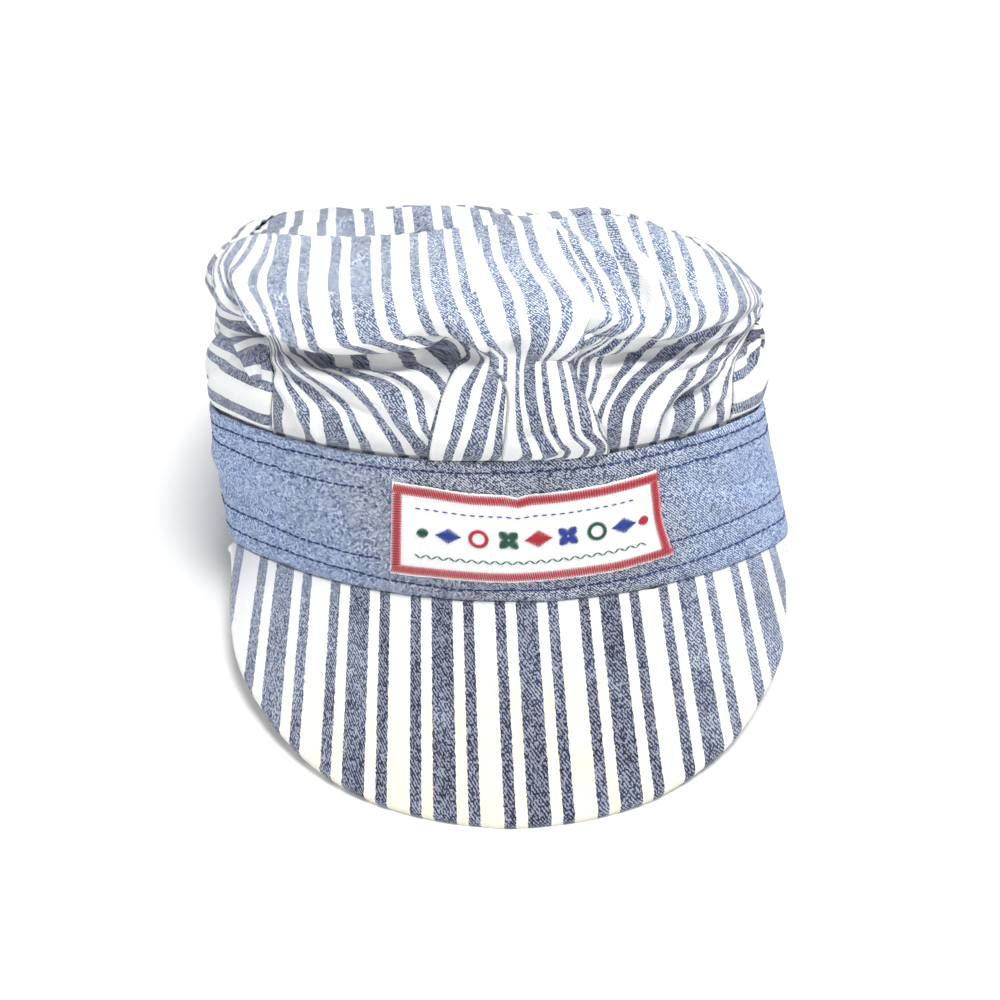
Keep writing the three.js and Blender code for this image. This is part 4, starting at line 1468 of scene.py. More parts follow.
def stitch_master(length: float, width: float, height: float) -> Piece:
    """One stitch: a plump capsule along X, in millimetres."""
    bpy.ops.object.select_all(action="DESELECT")
    quarter = (0, math.pi / 2, 0)
    bpy.ops.mesh.primitive_uv_sphere_add(segments=8, ring_count=5, radius=1.0, rotation=quarter)
    master = bpy.context.object
    master.name = "stitch_master"
    bpy.ops.object.transform_apply(location=True, rotation=True, scale=True)
    master.scale = (length / 2 * MM, width / 2 * MM, height / 2 * MM)
    bpy.ops.object.transform_apply(location=False, rotation=False, scale=True)
    bpy.ops.object.shade_smooth()
    return master


def copies_piece(name: str, master: Piece, places: Sequence[Matrix]) -> Piece:
    """One piece with a copy of the master at every place."""
    source = master.data
    corners = np.array([vertex.co[:] for vertex in source.vertices])
    faces = [tuple(polygon.vertices) for polygon in source.polygons]
    points, polygons = [], []
    for index, place in enumerate(places):
        matrix = np.array(place)
        points.append(corners @ matrix[:3, :3].T + matrix[:3, 3])
        polygons.extend(tuple(corner + index * len(corners) for corner in face) for face in faces)
    return smooth_piece(name, np.concatenate(points), polygons)


PEAK_CLOTH_RADIUS = 149.0
PEAK_CLOTH_SPREAD = 0.957
PEAK_GRAIN = math.radians(-2.4)
PEAK_STRIPE_START = -4.9


@dataclass
class Visor:
    """The stiff peak, covered in the striped cotton."""

    form: CapForm
    rest: Resting
    columns: int = 220
    top_rows: int = 60
    under_rows: int = 16
    edge_rows: int = 8
    least_reach: float = 3.2
    edge_cloth: Pair = (0.2, 4.4)
    calm_seam: float = 6.0
    calm_end: float = 0.06
    fade: float = 0.6
    worn_half: float = 0.62

    @property
    def half_angle(self) -> float:
        """Half angle of the peak's inner edge round the front."""
        return math.asin(self.form.visor_half_width / self.form.front_radius)

    def section(self, along: float) -> tuple[Array, Array]:
        """One row of the peak's skin: over the top, round the edge and back underneath.

        Args:
            along: Share of the half width, from -1 to 1.

        Returns:
            Points in millimetres and how far out each lies on the cloth.
        """
        reach = max(self.form.visor_reach(along), self.least_reach)
        thick = self.form.visor_thickness
        slope = self.form.visor_slope
        turn = along * self.half_angle
        level = np.array([math.sin(turn), -math.cos(turn), 0.0])
        upright = np.array([0.0, 0.0, 1.0])
        forward = level * math.cos(slope) - upright * math.sin(slope)
        down = -level * math.sin(slope) - upright * math.cos(slope)
        half = thick / 2
        start = self.form.visor_point(along, 0.0)
        outs = np.linspace(0.0, reach - half, self.top_rows)
        top = [start + forward * out for out in outs]
        rounded = []
        for step in np.linspace(0, math.pi, self.edge_rows + 2)[1:-1]:
            out = reach - half + half * math.sin(step)
            rounded.append(start + forward * out + down * half * (1 - math.cos(step)))
        back = np.linspace(reach - half, 0.0, self.under_rows)
        under = [start + forward * out + down * thick for out in back]
        round_edge = reach - half + np.linspace(*self.edge_cloth, self.edge_rows)
        run = np.concatenate([outs, round_edge, np.linspace(reach, 2 * reach, self.under_rows)])
        return np.array(top + rounded + under), run

    def build(self) -> Piece:
        """Makes the peak's skin as one closed body."""
        alongs = np.linspace(-1, 1, self.columns)
        sections = [self.section(along) for along in alongs]
        points = np.array([section[0] for section in sections])
        runs = np.array([section[1] for section in sections])
        ends = smoothstep(1 - np.abs(alongs), 0.0, self.calm_end)[:, None]
        relief = soft_waves(points, PEAK_SWELLS) * (smoothstep(runs, 0.0, self.calm_seam) * ends)
        points = points - grid_facings(points) * relief[..., None]
        flat_turn = alongs[:, None] * self.half_angle * self.form.front_radius / PEAK_CLOTH_RADIUS
        radius = PEAK_CLOTH_RADIUS + runs
        x, y = radius * np.sin(flat_turn), radius * np.cos(flat_turn) - PEAK_CLOTH_RADIUS
        across = x * math.cos(PEAK_GRAIN) + y * math.sin(PEAK_GRAIN)
        across = across * PEAK_CLOTH_SPREAD + PEAK_STRIPE_START
        grid = points.transpose(1, 0, 2)[::-1]
        cloth = across.T[::-1]
        piece = laid_cloth("visor", grid, cloth, self.rest, 0.0)
        middle = np.exp(-((np.abs(alongs)[None, :] / self.worn_half) ** 3)) * np.ones(cloth.shape)
        set_attribute(piece, "fade", self.fade * (1 - middle))
        set_attribute(piece, "stain", middle * smoothstep(runs.T[::-1], 8.0, 30.0))
        self.close(piece)
        return piece

    def close(self, piece: Piece) -> None:
        """Closes the skin's open edges."""
        merge_doubles(piece)
        bpy.ops.object.mode_set(mode="EDIT")
        bpy.ops.mesh.select_all(action="DESELECT")
        bpy.ops.mesh.select_mode(type="EDGE")
        bpy.ops.mesh.select_non_manifold()
        bpy.ops.mesh.edge_face_add()
        bpy.ops.mesh.select_all(action="SELECT")
        bpy.ops.mesh.normals_make_consistent(inside=False)
        bpy.ops.object.mode_set(mode="OBJECT")


class LabelStop(NamedTuple):
    """Corner or middle stop of the label's outline: angle, and shares of the band at its ends."""

    angle: float
    low: float
    high: float


LABEL_STOPS = (
    LabelStop(-18.5, 0.175, 0.845),
    LabelStop(-11.0, 0.178, 0.825),
    LabelStop(-3.8, 0.17, 0.795),
    LabelStop(2.8, 0.165, 0.785),
    LabelStop(5.0, 0.168, 0.765),
    LabelStop(7.5, 0.17, 0.785),
    LabelStop(13.5, 0.18, 0.792),
    LabelStop(22.0, 0.195, 0.808),
    LabelStop(33.0, 0.235, 0.845),
)
LABEL_LENGTH = 80.0
LABEL_HEIGHT = 27.0


class Motif(Enum):
    """Small embroidered shapes of the label."""

    DOT = "dot"
    DIAMOND = "diamond"
    RING = "ring"
    PETALS = "petals"


class MotifPlace(NamedTuple):
    """One embroidered shape: what it is, its thread, its place along the label and its radius."""

    shape: Motif
    thread: str
    across: float
    radius: float


LABEL_MOTIFS = (
    MotifPlace(Motif.DOT, "green", 9.2, 1.6),
    MotifPlace(Motif.DIAMOND, "blue", 16.5, 3.6),
    MotifPlace(Motif.RING, "red", 25.0, 3.0),
    MotifPlace(Motif.PETALS, "green", 33.5, 3.6),
    MotifPlace(Motif.DIAMOND, "red", 42.0, 4.0),
    MotifPlace(Motif.PETALS, "blue", 50.5, 3.6),
    MotifPlace(Motif.RING, "green", 59.0, 3.0),
    MotifPlace(Motif.DIAMOND, "blue", 67.0, 3.6),
    MotifPlace(Motif.DOT, "red", 73.0, 1.6),
)


class Thread(NamedTuple):
    """One straight stitch on the label, in millimetres from its lower left corner."""

    start: Pair
    end: Pair
    lift: float


FILL_PITCH = 0.4
FILL_SLANT = 0.2
FILL_LIFT = 0.25
LINE_LIFT = 0.15
LINE_MARGIN = 7.0


def motif_threads(motif: MotifPlace) -> list[Thread]:
    """Stitches that fill one embroidered shape, laid side by side."""
    middle_x, middle_y = motif.across, LABEL_HEIGHT / 2
    radius, pitch, slant = motif.radius, FILL_PITCH, FILL_SLANT
    threads = []
    if motif.shape in (Motif.DOT, Motif.DIAMOND):
        for step in np.arange(-radius + pitch / 2, radius, pitch):
            if motif.shape is Motif.DOT:
                half = math.sqrt(max(radius**2 - step**2, 0.0))
            else:
                half = (radius - abs(step)) * 0.75
            start = (middle_x + step - slant, middle_y - half)
            threads.append(Thread(start, (middle_x + step + slant, middle_y + half), FILL_LIFT))
    elif motif.shape is Motif.RING:
        count = int(2 * math.pi * radius * 0.8 / pitch)
        for index in range(count):
            turn = 2 * math.pi * index / count
            inner, later = radius * 0.58, turn + 0.12
            start = (middle_x + inner * math.cos(turn), middle_y + inner * math.sin(turn))
            end = (middle_x + radius * math.cos(later), middle_y + radius * math.sin(later))
            threads.append(Thread(start, end, FILL_LIFT))
    else:
        for quarter in range(4):
            turn = math.pi / 4 + quarter * math.pi / 2
            along = np.array([math.cos(turn), math.sin(turn)])
            side = np.array([-along[1], along[0]])
            for step in np.arange(0.5, radius, pitch):
                half = 0.42 * radius * math.sin(math.pi * step / radius) ** 0.7
                heart = np.array([middle_x, middle_y]) + along * step
                start, end = tuple(heart - side * half), tuple(heart + side * half)
                threads.append(Thread(start, end, FILL_LIFT))
    return threads


def zigzag_threads(height: float, pitch: float, swing: float) -> list[Thread]:
    """Stitches of a zigzag line along the label."""
    threads = []
    for index in range(int((LABEL_LENGTH - 2 * LINE_MARGIN) / pitch)):
        start = LINE_MARGIN + index * pitch
        up = swing if index % 2 else -swing
        threads.append(Thread((start, height - up), (start + pitch, height + up), LINE_LIFT))
    return threads


def dash_threads(height: float, pitch: float, length: float) -> list[Thread]:
    """Stitches of a dashed line along the label."""
    count = int((LABEL_LENGTH - 2 * LINE_MARGIN) / pitch)
    starts = [LINE_MARGIN + index * pitch for index in range(count)]
    return [Thread((start, height), (start + length, height), LINE_LIFT) for start in starts]


@dataclass
class Label:
    """The woven label on the headband's front: white field, red border, a row of small motifs."""

    form: CapForm
    rest: Resting
    columns: int = 200
    rows: int = 70
    lift: float = 1.0
    thickness: float = 0.5
    edge_roll: float = 0.35
    edge_width: float = 0.5
    low_edge: float = -0.5
    high_edge: float = 0.1
    end_kink: float = 0.8
    skew: Pair = (-4.5, 1.6)
    border: float = 3.1
    border_pitch: float = 0.5
    border_slant: float = 0.35
    cut: Pair = (0.0275, 0.081)

    def place(self, across: Array, up: Array, lift: Array) -> Array:
        """Points on the label, raised above the headband.

        Args:
            across: Millimetres along the label from its left end in the picture.
            up: Millimetres up the label.
            lift: Millimetres above the headband.

        Returns:
            Points in millimetres.
        """
        angles, lows, highs = (np.array(part, float) for part in zip(*LABEL_STOPS))
        share_across, share_up = across / LABEL_LENGTH, up / LABEL_HEIGHT
        stations = (angles - angles[0]) / (angles[-1] - angles[0])
        low = np.interp(share_across, stations, lows)
        high = np.interp(share_across, stations, highs)
        share = low + (high - low) * share_up
        waist = np.exp(-(((share_up - 0.45) / 0.3) ** 2))
        kink = self.end_kink * waist * smoothstep(share_across, 0.9, 1.0)
        skew = (1 - share_up) * lerp(*self.skew, share_across) - kink
        angle = angles[0] + (angles[-1] - angles[0]) * share_across + skew
        flat_angle, flat_share = angle.ravel(), share.ravel()
        flat_lift = np.broadcast_to(lift, angle.shape).ravel()
        points = np.empty((len(flat_angle), 3))
        levels = np.round(flat_share, 3)
        for level in np.unique(levels):
            picked = levels == level
            points[picked] = self.form.band_points(flat_angle[picked], level)
            points[picked, 2] = flat_share[picked] * self.form.band_height
            facings = self.form.band_facings(flat_angle[picked], level)
            points[picked] += facings * flat_lift[picked][:, None]
        return points.reshape(angle.shape + (3,))

    def build(self) -> Piece:
        """Makes the label's woven field."""
        steps_across = np.linspace(0, LABEL_LENGTH, self.columns)
        steps_up = np.linspace(self.low_edge, LABEL_HEIGHT + self.high_edge, self.rows)
        across, up = np.meshgrid(steps_across, steps_up)
        from_end = np.minimum(across, LABEL_LENGTH - across)
        edge = np.minimum(from_end, np.minimum(up - self.low_edge, LABEL_HEIGHT - up))
        ragged = self.waved(across, up, LABEL_FRAYS) * np.exp(-np.abs(edge) / self.edge_width)
        rolled = self.edge_roll * np.exp(-edge / self.edge_width)
        lift = self.lift - rolled + self.waved(across, up, LABEL_SWELLS)
        points = self.place(across, up + ragged, lift)
        piece = laid_cloth("label_patch", points, across, self.rest, self.thickness)
        return piece

    def waved(self, across: Array, up: Array, swells: Sequence[Swell]) -> Array:
        """Soft waves at places on the label, in millimetres."""
        return soft_waves(np.stack([across, np.zeros(across.shape), up], axis=-1), swells)

    def thread_places(self, threads: Sequence[Thread]) -> list[Matrix]:
        """Places of stitches, for a stitch modelled 1 mm long."""
        starts = np.array([thread.start for thread in threads])
        ends = np.array([thread.end for thread in threads])
        middles = (starts + ends) / 2
        waved = self.waved(middles[:, 0], middles[:, 1], LABEL_SWELLS)
        lifts = self.lift + waved + np.array([thread.lift for thread in threads])
        first = self.place(starts[:, 0], starts[:, 1], lifts)
        last = self.place(ends[:, 0], ends[:, 1], lifts)
        angles = np.array([LABEL_STOPS[0].angle, LABEL_STOPS[-1].angle])
        turned = np.interp(middles[:, 0] / LABEL_LENGTH, [0, 1], angles)
        outward = along_row(self.form.band_facings, turned, np.full(len(turned), 0.5))
        first, last = self.rest.placed(first), self.rest.placed(last)
        places = []
        for start, end, out in zip(first, last, outward):
            length = float(np.linalg.norm(end - start)) / MM
            matrix = stitch_matrix((start + end) / 2, end - start, out)
            places.append(matrix @ Matrix.Scale(length, 4, (1, 0, 0)))
        return places

    def border_threads(self) -> list[Thread]:
        """Slanting stitches that cover the border all round."""
        threads = []
        inset, pitch, slant = self.border, self.border_pitch, self.border_slant
        length, height = LABEL_LENGTH, LABEL_HEIGHT
        for x in np.arange(0.2 + pitch, length, pitch):
            threads.append(Thread((x - slant, 0.1), (x + slant, inset), 0.3))
            threads.append(Thread((x - slant, height - inset), (x + slant, height), 0.3))
        for y in np.arange(inset - 0.2, height - inset + 0.4, pitch):
            threads.append(Thread((0.15, y - slant), (inset + 0.2, y + slant), 0.34))
            threads.append(Thread((length - inset - 0.1, y - slant), (length - 0.15, y + slant), 0.34))
        return threads


Colour = Triple


@dataclass(frozen=True)
class ClothFinish:
    """Colours and weave of a cloth: its blue threads deep and pale, the pale ones standing for faded cloth
    and for painted light, and its ground.
    """

    name: str
    slot: Slot
    dark: tuple[Colour, Colour]
    light: tuple[Colour, Colour]
    ground: Colour
    striped: bool
    thread: float = 0.39
    specks: float = 0.46
    roughness: float = 0.9
    sheen: float = 0.1
    cloud_scale: float = 45.0
    cloud_share: float = 1.1
    relief: float = 0.6
    relief_depth: float = 0.06


HICKORY = ClothFinish(
    name="hickory_stripe",
    slot=Slot.STRIPED,
    dark=((0.012, 0.014, 0.04), (0.11, 0.18, 0.35)),
    light=((0.24, 0.26, 0.34), (0.8, 0.86, 0.92)),
    ground=(0.84, 0.845, 0.85),
    striped=True,
)
BAND_CLOTH = ClothFinish(
    name="band_chambray",
    slot=Slot.CHAMBRAY,
    dark=((0.035, 0.05, 0.1), (0.09, 0.16, 0.36)),
    light=((0.56, 0.6, 0.68), (0.56, 0.66, 0.83)),
    ground=(0.84, 0.845, 0.85),
    striped=False,
)
LABEL_CLOTH = ClothFinish(
    name="label_weave",
    slot=Slot.LABEL,
    dark=((0.84, 0.84, 0.87), (0.84, 0.84, 0.87)),
    light=((0.96, 0.96, 0.96), (0.96, 0.96, 0.96)),
    ground=(0.85, 0.85, 0.86),
    striped=False,
    specks=0.7,
)


class Nodes:
    """Short ways to add nodes to a material."""

    def __init__(self, tree: NodeTree) -> None:
        """Keeps the node tree."""
        self.tree = tree

    def add(self, kind: str, **settings: object) -> bpy.types.Node:
        """Adds a node with the given settings."""
        node = self.tree.nodes.new(kind)
        for name, value in settings.items():
            setattr(node, name, value)
        return node

    def link(self, start: Socket, end: Socket) -> None:
        """Joins two sockets."""
        self.tree.links.new(start, end)

    def feed(self, socket: Socket, value: Socket | Colour | float) -> None:
        """Gives a socket a value: another socket's, a colour or a number."""
        if isinstance(value, Socket):
            self.link(value, socket)
        else:
            socket.default_value = (*value, 1.0) if isinstance(value, tuple) else value

    def math(self, operation: str, *inputs: Socket | float) -> Socket:
        """Adds a math node and returns its result."""
        node = self.add("ShaderNodeMath", operation=operation)
        for socket, value in zip(node.inputs, inputs):
            self.feed(socket, value)
        return node.outputs[0]

    def clamp(self, value: Socket) -> Socket:
        """Keeps a value from 0 to 1."""
        node = self.add("ShaderNodeClamp")
        self.link(value, node.inputs[0])
        return node.outputs[0]

    def apart(self, vector: Socket) -> Sequence[Socket]:
        """Takes a vector apart into its three values."""
        node = self.add("ShaderNodeSeparateXYZ")
        self.link(vector, node.inputs[0])
        return node.outputs

    def mix(self, share: Socket, start: Socket | Colour, end: Socket | Colour) -> Socket:
        """Mixes two colours and returns the result."""
        node = self.add("ShaderNodeMix", data_type="RGBA")
        for index, value in ((0, share), (6, start), (7, end)):
            self.feed(node.inputs[index], value)
        return node.outputs[2]


def shaded_material(name: str, roughness: float) -> tuple[Material, bpy.types.Node]:
    """A new material of a given roughness, and its shader."""
    material = bpy.data.materials.new(name)
    material.use_nodes = True
    shader = material.node_tree.nodes["Principled BSDF"]
    shader.inputs["Roughness"].default_value = roughness
    return material, shader


RIB_PERIOD = 2.6
RIB_SHARE = 0.4
SPECK_CONTRAST = 9.0


def weave_group() -> NodeTree:
    """Node group of a woven cloth.

    Its inputs are the place on the cloth in millimetres, the pitch of the threads and the share of
    light specks. Its outputs are the speck from 0 to 1, the raggedness of a stripe's edge from -1
    to 1, and the height of the threads.
    """
    group = bpy.data.node_groups.new("weave", "ShaderNodeTree")
    make = Nodes(group)
    sockets = group.interface
    sockets.new_socket("Place", in_out="INPUT", socket_type="NodeSocketVector")
    for name in ("Pitch", "Specks"):
        sockets.new_socket(name, in_out="INPUT", socket_type="NodeSocketFloat")
    for name in ("Speck", "Ragged", "Height"):
        sockets.new_socket(name, in_out="OUTPUT", socket_type="NodeSocketFloat")
    given = make.add("NodeGroupInput")
    result = make.add("NodeGroupOutput")
    place = make.apart(given.outputs["Place"])
    column = make.math("DIVIDE", place[0], given.outputs["Pitch"])
    row = make.math("DIVIDE", place[1], given.outputs["Pitch"])
    crossing = make.add("ShaderNodeCombineXYZ")
    make.link(make.math("FLOOR", column), crossing.inputs[0])
    make.link(make.math("FLOOR", row), crossing.inputs[1])
    chance = make.add("ShaderNodeTexWhiteNoise", noise_dimensions="2D")
    make.link(crossing.outputs[0], chance.inputs["Vector"])
    slanted = make.math("MULTIPLY", make.math("ADD", column, row), 2 * math.pi / RIB_PERIOD)
    ribs = make.math("MULTIPLY_ADD", make.math("SINE", slanted), 0.5, 0.5)
    ribs = make.math("MULTIPLY", ribs, RIB_SHARE)
    drawn = make.math("MULTIPLY_ADD", chance.outputs["Value"], 1 - RIB_SHARE, ribs)
    border = make.math("SUBTRACT", 1.0, given.outputs["Specks"])
    contrast = make.math("MULTIPLY", make.math("SUBTRACT", drawn, border), SPECK_CONTRAST)
    make.link(make.clamp(make.math("ADD", contrast, 0.5)), result.inputs["Speck"])
    tooth = make.add("ShaderNodeTexWhiteNoise", noise_dimensions="1D")
    make.link(make.math("FLOOR", row), tooth.inputs["W"])
    make.link(make.math("SUBTRACT", tooth.outputs["Value"], 0.5), result.inputs["Ragged"])
    hill = make.math("SINE", make.math("MULTIPLY", column, 2 * math.pi))
    make.link(make.math("ADD", hill, make.math("SINE", slanted)), result.inputs["Height"])
    return group


STRIPE_EDGES = ((0.0, 0), (0.25, 1), (0.375, 0), (0.5, 1), (0.75, 0), (0.875, 1))
STRIPE_SHIFT = 0.125
RAGGED_MM = 0.25
STAIN_COLOUR = (0.8, 0.75, 0.6)
STAIN_STRENGTH = 1.6
THREAD_SHADE = (0.45, 0.47, 0.52)
THREAD_SHADE_SHARE = 0.1


def stripe_ramp(make: Nodes, across: Socket) -> Socket:
    """White ground or blue stripe at a place across the cloth, in repeats: 1 or 0."""
    node = make.add("ShaderNodeValToRGB")
    node.color_ramp.interpolation = "CONSTANT"
    elements = node.color_ramp.elements
    for index, (position, value) in enumerate(STRIPE_EDGES):
        element = elements[index] if index < 2 else elements.new(position)
        element.position, element.color = position, (value, value, value, 1)
    make.link(make.math("FRACT", across), node.inputs[0])
    return node.outputs[0]


def cloth_material(finish: ClothFinish, weave: NodeTree) -> Material:
    """Makes a woven cloth.

    Args:
        finish: Its colours and weave.
        weave: Node group of the weave.

    Returns:
        The new material.
    """
    material, shader = shaded_material(finish.name, finish.roughness)
    shader.inputs["Sheen Weight"].default_value = finish.sheen
    make = Nodes(material.node_tree)
    threads = make.add("ShaderNodeGroup", node_tree=weave)
    make.link(make.add("ShaderNodeUVMap", uv_map="weave").outputs[0], threads.inputs["Place"])
    threads.inputs["Pitch"].default_value = finish.thread
    threads.inputs["Specks"].default_value = finish.specks
    # The fade attribute makes the blue paler: faded cloth, and painted light and painted shade on the crown's
    # front and in the flanks' folds.
    fade = make.add("ShaderNodeAttribute", attribute_name="fade").outputs["Fac"]
    cloudy = make.add("ShaderNodeTexNoise")
    cloudy.inputs["Scale"].default_value = finish.cloud_scale
    make.link(make.add("ShaderNodeTexCoord").outputs["Object"], cloudy.inputs["Vector"])
    cloudy.inputs["Detail"].default_value = 4.0
    cloudy.inputs["Roughness"].default_value = 0.65
    cloud = make.math("MULTIPLY", make.math("SUBTRACT", cloudy.outputs[0], 0.5), finish.cloud_share)
    faded = make.clamp(make.math("ADD", fade, cloud))
    colour = make.mix(threads.outputs["Speck"], make.mix(faded, *finish.dark), make.mix(faded, *finish.light))
    if finish.striped:
        place = make.apart(make.add("ShaderNodeUVMap", uv_map="cloth").outputs[0])
        ragged = make.math("MULTIPLY", threads.outputs["Ragged"], RAGGED_MM / STRIPE_REPEAT)
        across = make.math("ADD", make.math("ADD", place[0], STRIPE_SHIFT), ragged)
        stain = make.add("ShaderNodeAttribute", attribute_name="stain").outputs["Fac"]
        blot = make.math("MULTIPLY", cloudy.outputs[0], STAIN_STRENGTH)
        stained = make.clamp(make.math("MULTIPLY", stain, blot))
        ground = make.mix(stained, finish.ground, STAIN_COLOUR)
        shade = make.math("SUBTRACT", 1.0, threads.outputs["Speck"])
        shade = make.math("MULTIPLY", shade, THREAD_SHADE_SHARE)
        ground = make.mix(shade, ground, THREAD_SHADE)
        colour = make.mix(stripe_ramp(make, across), colour, ground)
    make.link(colour, shader.inputs["Base Color"])
    relief = make.add("ShaderNodeBump")
    relief.inputs["Strength"].default_value = finish.relief
    relief.inputs["Distance"].default_value = finish.relief_depth * MM
    make.link(threads.outputs["Height"], relief.inputs["Height"])
    make.link(relief.outputs[0], shader.inputs["Normal"])
    return material


@dataclass(frozen=True)
class ThreadFinish:
    """A twisted sewing thread in one colour."""

    name: str
    colour: Colour
    roughness: float = 0.75
    grain: float = 1800.0
    shade: float = 0.55


NAVY_THREAD = ThreadFinish("navy_thread", (0.025, 0.045, 0.2))
LABEL_THREADS = {
    "red": ThreadFinish("red_thread", (0.6, 0.035, 0.06)),
    "blue": ThreadFinish("blue_thread", (0.03, 0.07, 0.4)),
    "green": ThreadFinish("green_thread", (0.02, 0.12, 0.07)),
}


def thread_material(finish: ThreadFinish) -> Material:
    """Makes a thread's material."""
    material, shader = shaded_material(finish.name, finish.roughness)
    make = Nodes(material.node_tree)
    grain = make.add("ShaderNodeTexNoise")
    grain.inputs["Scale"].default_value = finish.grain
    make.link(make.add("ShaderNodeTexCoord").outputs["Object"], grain.inputs["Vector"])
    dark = tuple(channel * finish.shade for channel in finish.colour)
    make.link(make.mix(grain.outputs[0], dark, finish.colour), shader.inputs["Base Color"])
    return material


class Lamp(NamedTuple):
    """A round soft light: its place and size in metres, and its power in watts."""

    name: str
    place: Triple
    size: float
    power: float


LAMPS = (
    Lamp("key", (0.28, -0.15, 1.25), 0.6, 16.5),
    Lamp("fill", (-0.45, -1.15, 0.5), 1.0, 5.2),
)


@dataclass
class Studio:
    """The pale floor, the soft lights and the camera."""

    rest: Resting
    floor_size: float = 6.0
    floor_grey: Colour = (0.9, 0.9, 0.9)
    floor_roughness: float = 0.9
    floor_glow: float = 0.7
    sky: float = 0.44
    whitened: Pair = (0.35, 1.0)
    aim: Triple = (0.0, 0.0, 0.05)
    lens: float = 39.6
    sensor: float = 36.0
    tilt: float = 28.0
    camera_place: Triple = (-2.675, -274.49, 180.29)

    def build(self) -> None:
        """Sets up the floor, the world, the lights and the camera."""
        bpy.ops.object.select_all(action="DESELECT")
        bpy.ops.mesh.primitive_plane_add(size=self.floor_size, location=(0, 0, 0))
        floor = bpy.context.object
        floor.name = "floor"
        material, shader = shaded_material("floor_paper", self.floor_roughness)
        shader.inputs["Base Color"].default_value = (*self.floor_grey, 1)
        self.whiten(material, shader)
        floor.data.materials.append(material)
        world = bpy.context.scene.world or bpy.data.worlds.new("studio")
        bpy.context.scene.world = world
        world.use_nodes = True
        background = world.node_tree.nodes.get("Background")
        background.inputs[0].default_value = (1, 1, 1, 1)
        make = Nodes(world.node_tree)
        seen = make.add("ShaderNodeLightPath").outputs["Is Camera Ray"]
        make.link(make.math("MULTIPLY_ADD", seen, 1 - self.sky, self.sky), background.inputs[1])
        for lamp in LAMPS:
            self.light(lamp)
        self.camera()
        bpy.context.scene.view_settings.view_transform = "Standard"

    def whiten(self, material: Material, shader: bpy.types.Node) -> None:
        """Keeps the floor white far from the cap, where the lights don't reach."""
        make = Nodes(material.node_tree)
        place = make.add("ShaderNodeTexCoord").outputs["Object"]
        away = make.add("ShaderNodeVectorMath", operation="LENGTH")
        make.link(place, away.inputs[0])
        rise = make.add("ShaderNodeMapRange", interpolation_type="SMOOTHSTEP")
        make.link(away.outputs["Value"], rise.inputs["Value"])
        for name, value in zip(("From Min", "From Max", "To Max"), (*self.whitened, self.floor_glow)):
            rise.inputs[name].default_value = value
        shader.inputs["Emission Color"].default_value = (1, 1, 1, 1)
        make.link(rise.outputs[0], shader.inputs["Emission Strength"])

    def light(self, lamp: Lamp) -> None:
        """Adds a light that faces the cap."""
        bpy.ops.object.light_add(type="AREA", location=lamp.place)
        light = bpy.context.object
        light.name = lamp.name
        light.data.shape = "DISK"
        light.data.size = lamp.size
        light.data.energy = lamp.power
        facing = Vector(self.aim) - Vector(lamp.place)
        light.rotation_euler = facing.to_track_quat("-Z", "Y").to_euler()

    def camera(self) -> None:
        """Adds the camera at the picture's place, which is given with the headband's plane as ground."""
        place = self.rest.tilted(np.array([self.camera_place]))[0] * MM
        bpy.ops.object.camera_add(location=place)
        camera = bpy.context.object
        camera.data.lens = self.lens
        camera.data.sensor_width = self.sensor
        tilt = math.radians(self.tilt) + self.rest.form.rest_tilt
        camera.rotation_euler = (math.pi / 2 - tilt, 0, 0)
        bpy.context.scene.camera = camera


FRONT_ROWS = 112
FLANK_ROWS = 90
TUCK_ROWS = 34
TUCK_TOP_RING = 3.1


def crown_rings(form: CapForm, rows: int) -> Array:
    """Rings of a crown panel's rows: a few in the headband, the rest up to the top seam."""
    return np.concatenate([np.linspace(-0.9, -0.15, 5), np.linspace(0, form.last_ring, rows)])


def dress(piece: Piece, material: Material, replaced: Optional[str] = None) -> None:
    """Gives a piece its material, hangs it on the cap, hides the solid that it replaces and logs its faces.
    """
    piece.data.materials.clear()
    piece.data.materials.append(material)
    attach(piece, "root")
    if replaced:
        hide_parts(replaced)
    log.info("%s: %d faces", piece.name, len(piece.data.polygons))


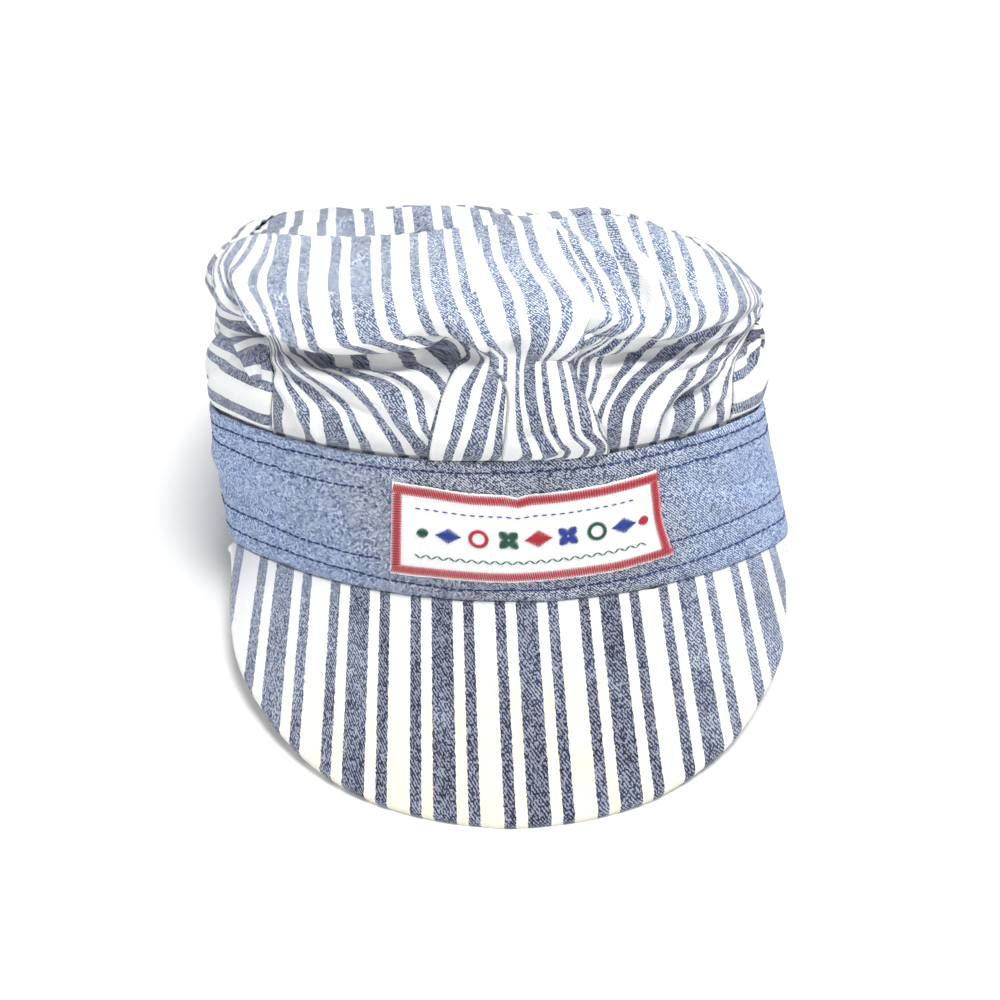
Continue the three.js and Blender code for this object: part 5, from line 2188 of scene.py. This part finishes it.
def dress_crown(form: CapForm, rest: Resting, hickory: Material) -> None:
    """Builds the crown's panels."""
    dress(FrontPanel(form, rest, crown_rings(form, FRONT_ROWS)).build(), hickory, "crown_front")
    for side in Side:
        flank = SidePanel(form, rest, crown_rings(form, FLANK_ROWS), side).build()
        dress(flank, hickory, f"crown_side_{side.name.lower()}")
    tuck_rings = np.linspace(SideTuck.tip[1], TUCK_TOP_RING, TUCK_ROWS)
    dress(SideTuck(form, rest, tuck_rings, Side.LEFT, steps=26).build(), hickory)
    dress(TopPanel(form, rest).build(), hickory, "crown_top")


def dress_band(form: CapForm, rest: Resting, chambray: Material) -> None:
    """Builds the headband and its rows of stitches."""
    band = Headband(form, rest)
    dress(band.build(), chambray, "headband")
    navy = thread_material(NAVY_THREAD)
    master = stitch_master(length=2.35, width=0.62, height=0.6)
    for row in BAND_ROWS:
        name = f"stitches_{row.name.replace(' ', '_')}"
        dress(copies_piece(name, master, band.stitch_places(row)), navy)
    bpy.data.objects.remove(master)


def dress_label(form: CapForm, rest: Resting, woven: Material) -> None:
    """Builds the label, its border, its lines and its motifs."""
    label = Label(form, rest)
    dress(label.build(), woven, "label_patch")
    threads = {name: thread_material(finish) for name, finish in LABEL_THREADS.items()}
    fine = stitch_master(length=1.0, width=0.42, height=0.4)
    rows = [
        ("label_border", "red", label.border_threads()),
        ("label_dashes", "blue", dash_threads(height=20.6, pitch=2.6, length=1.7)),
        ("label_zigzag", "green", zigzag_threads(height=6.2, pitch=1.6, swing=0.6)),
    ]
    for number, motif in enumerate(LABEL_MOTIFS, start=1):
        rows.append((f"label_{motif.shape.value}_{number}", motif.thread, motif_threads(motif)))
    for name, colour, stitches in rows:
        dress(copies_piece(name, fine, label.thread_places(stitches)), threads[colour])
    bpy.data.objects.remove(fine)


def main() -> None:
    """Builds the cap piece by piece."""
    form = CapForm()
    rest = Resting.from_frame(form)
    weave = weave_group()
    finishes = (HICKORY, BAND_CLOTH, LABEL_CLOTH)
    hickory, chambray, woven = (cloth_material(finish, weave) for finish in finishes)
    dress_crown(form, rest, hickory)
    dress_band(form, rest, chambray)
    dress(Visor(form, rest).build(), hickory, "visor")
    dress_label(form, rest, woven)
    Studio(rest).build()


if __name__ == "__main__":
    main()
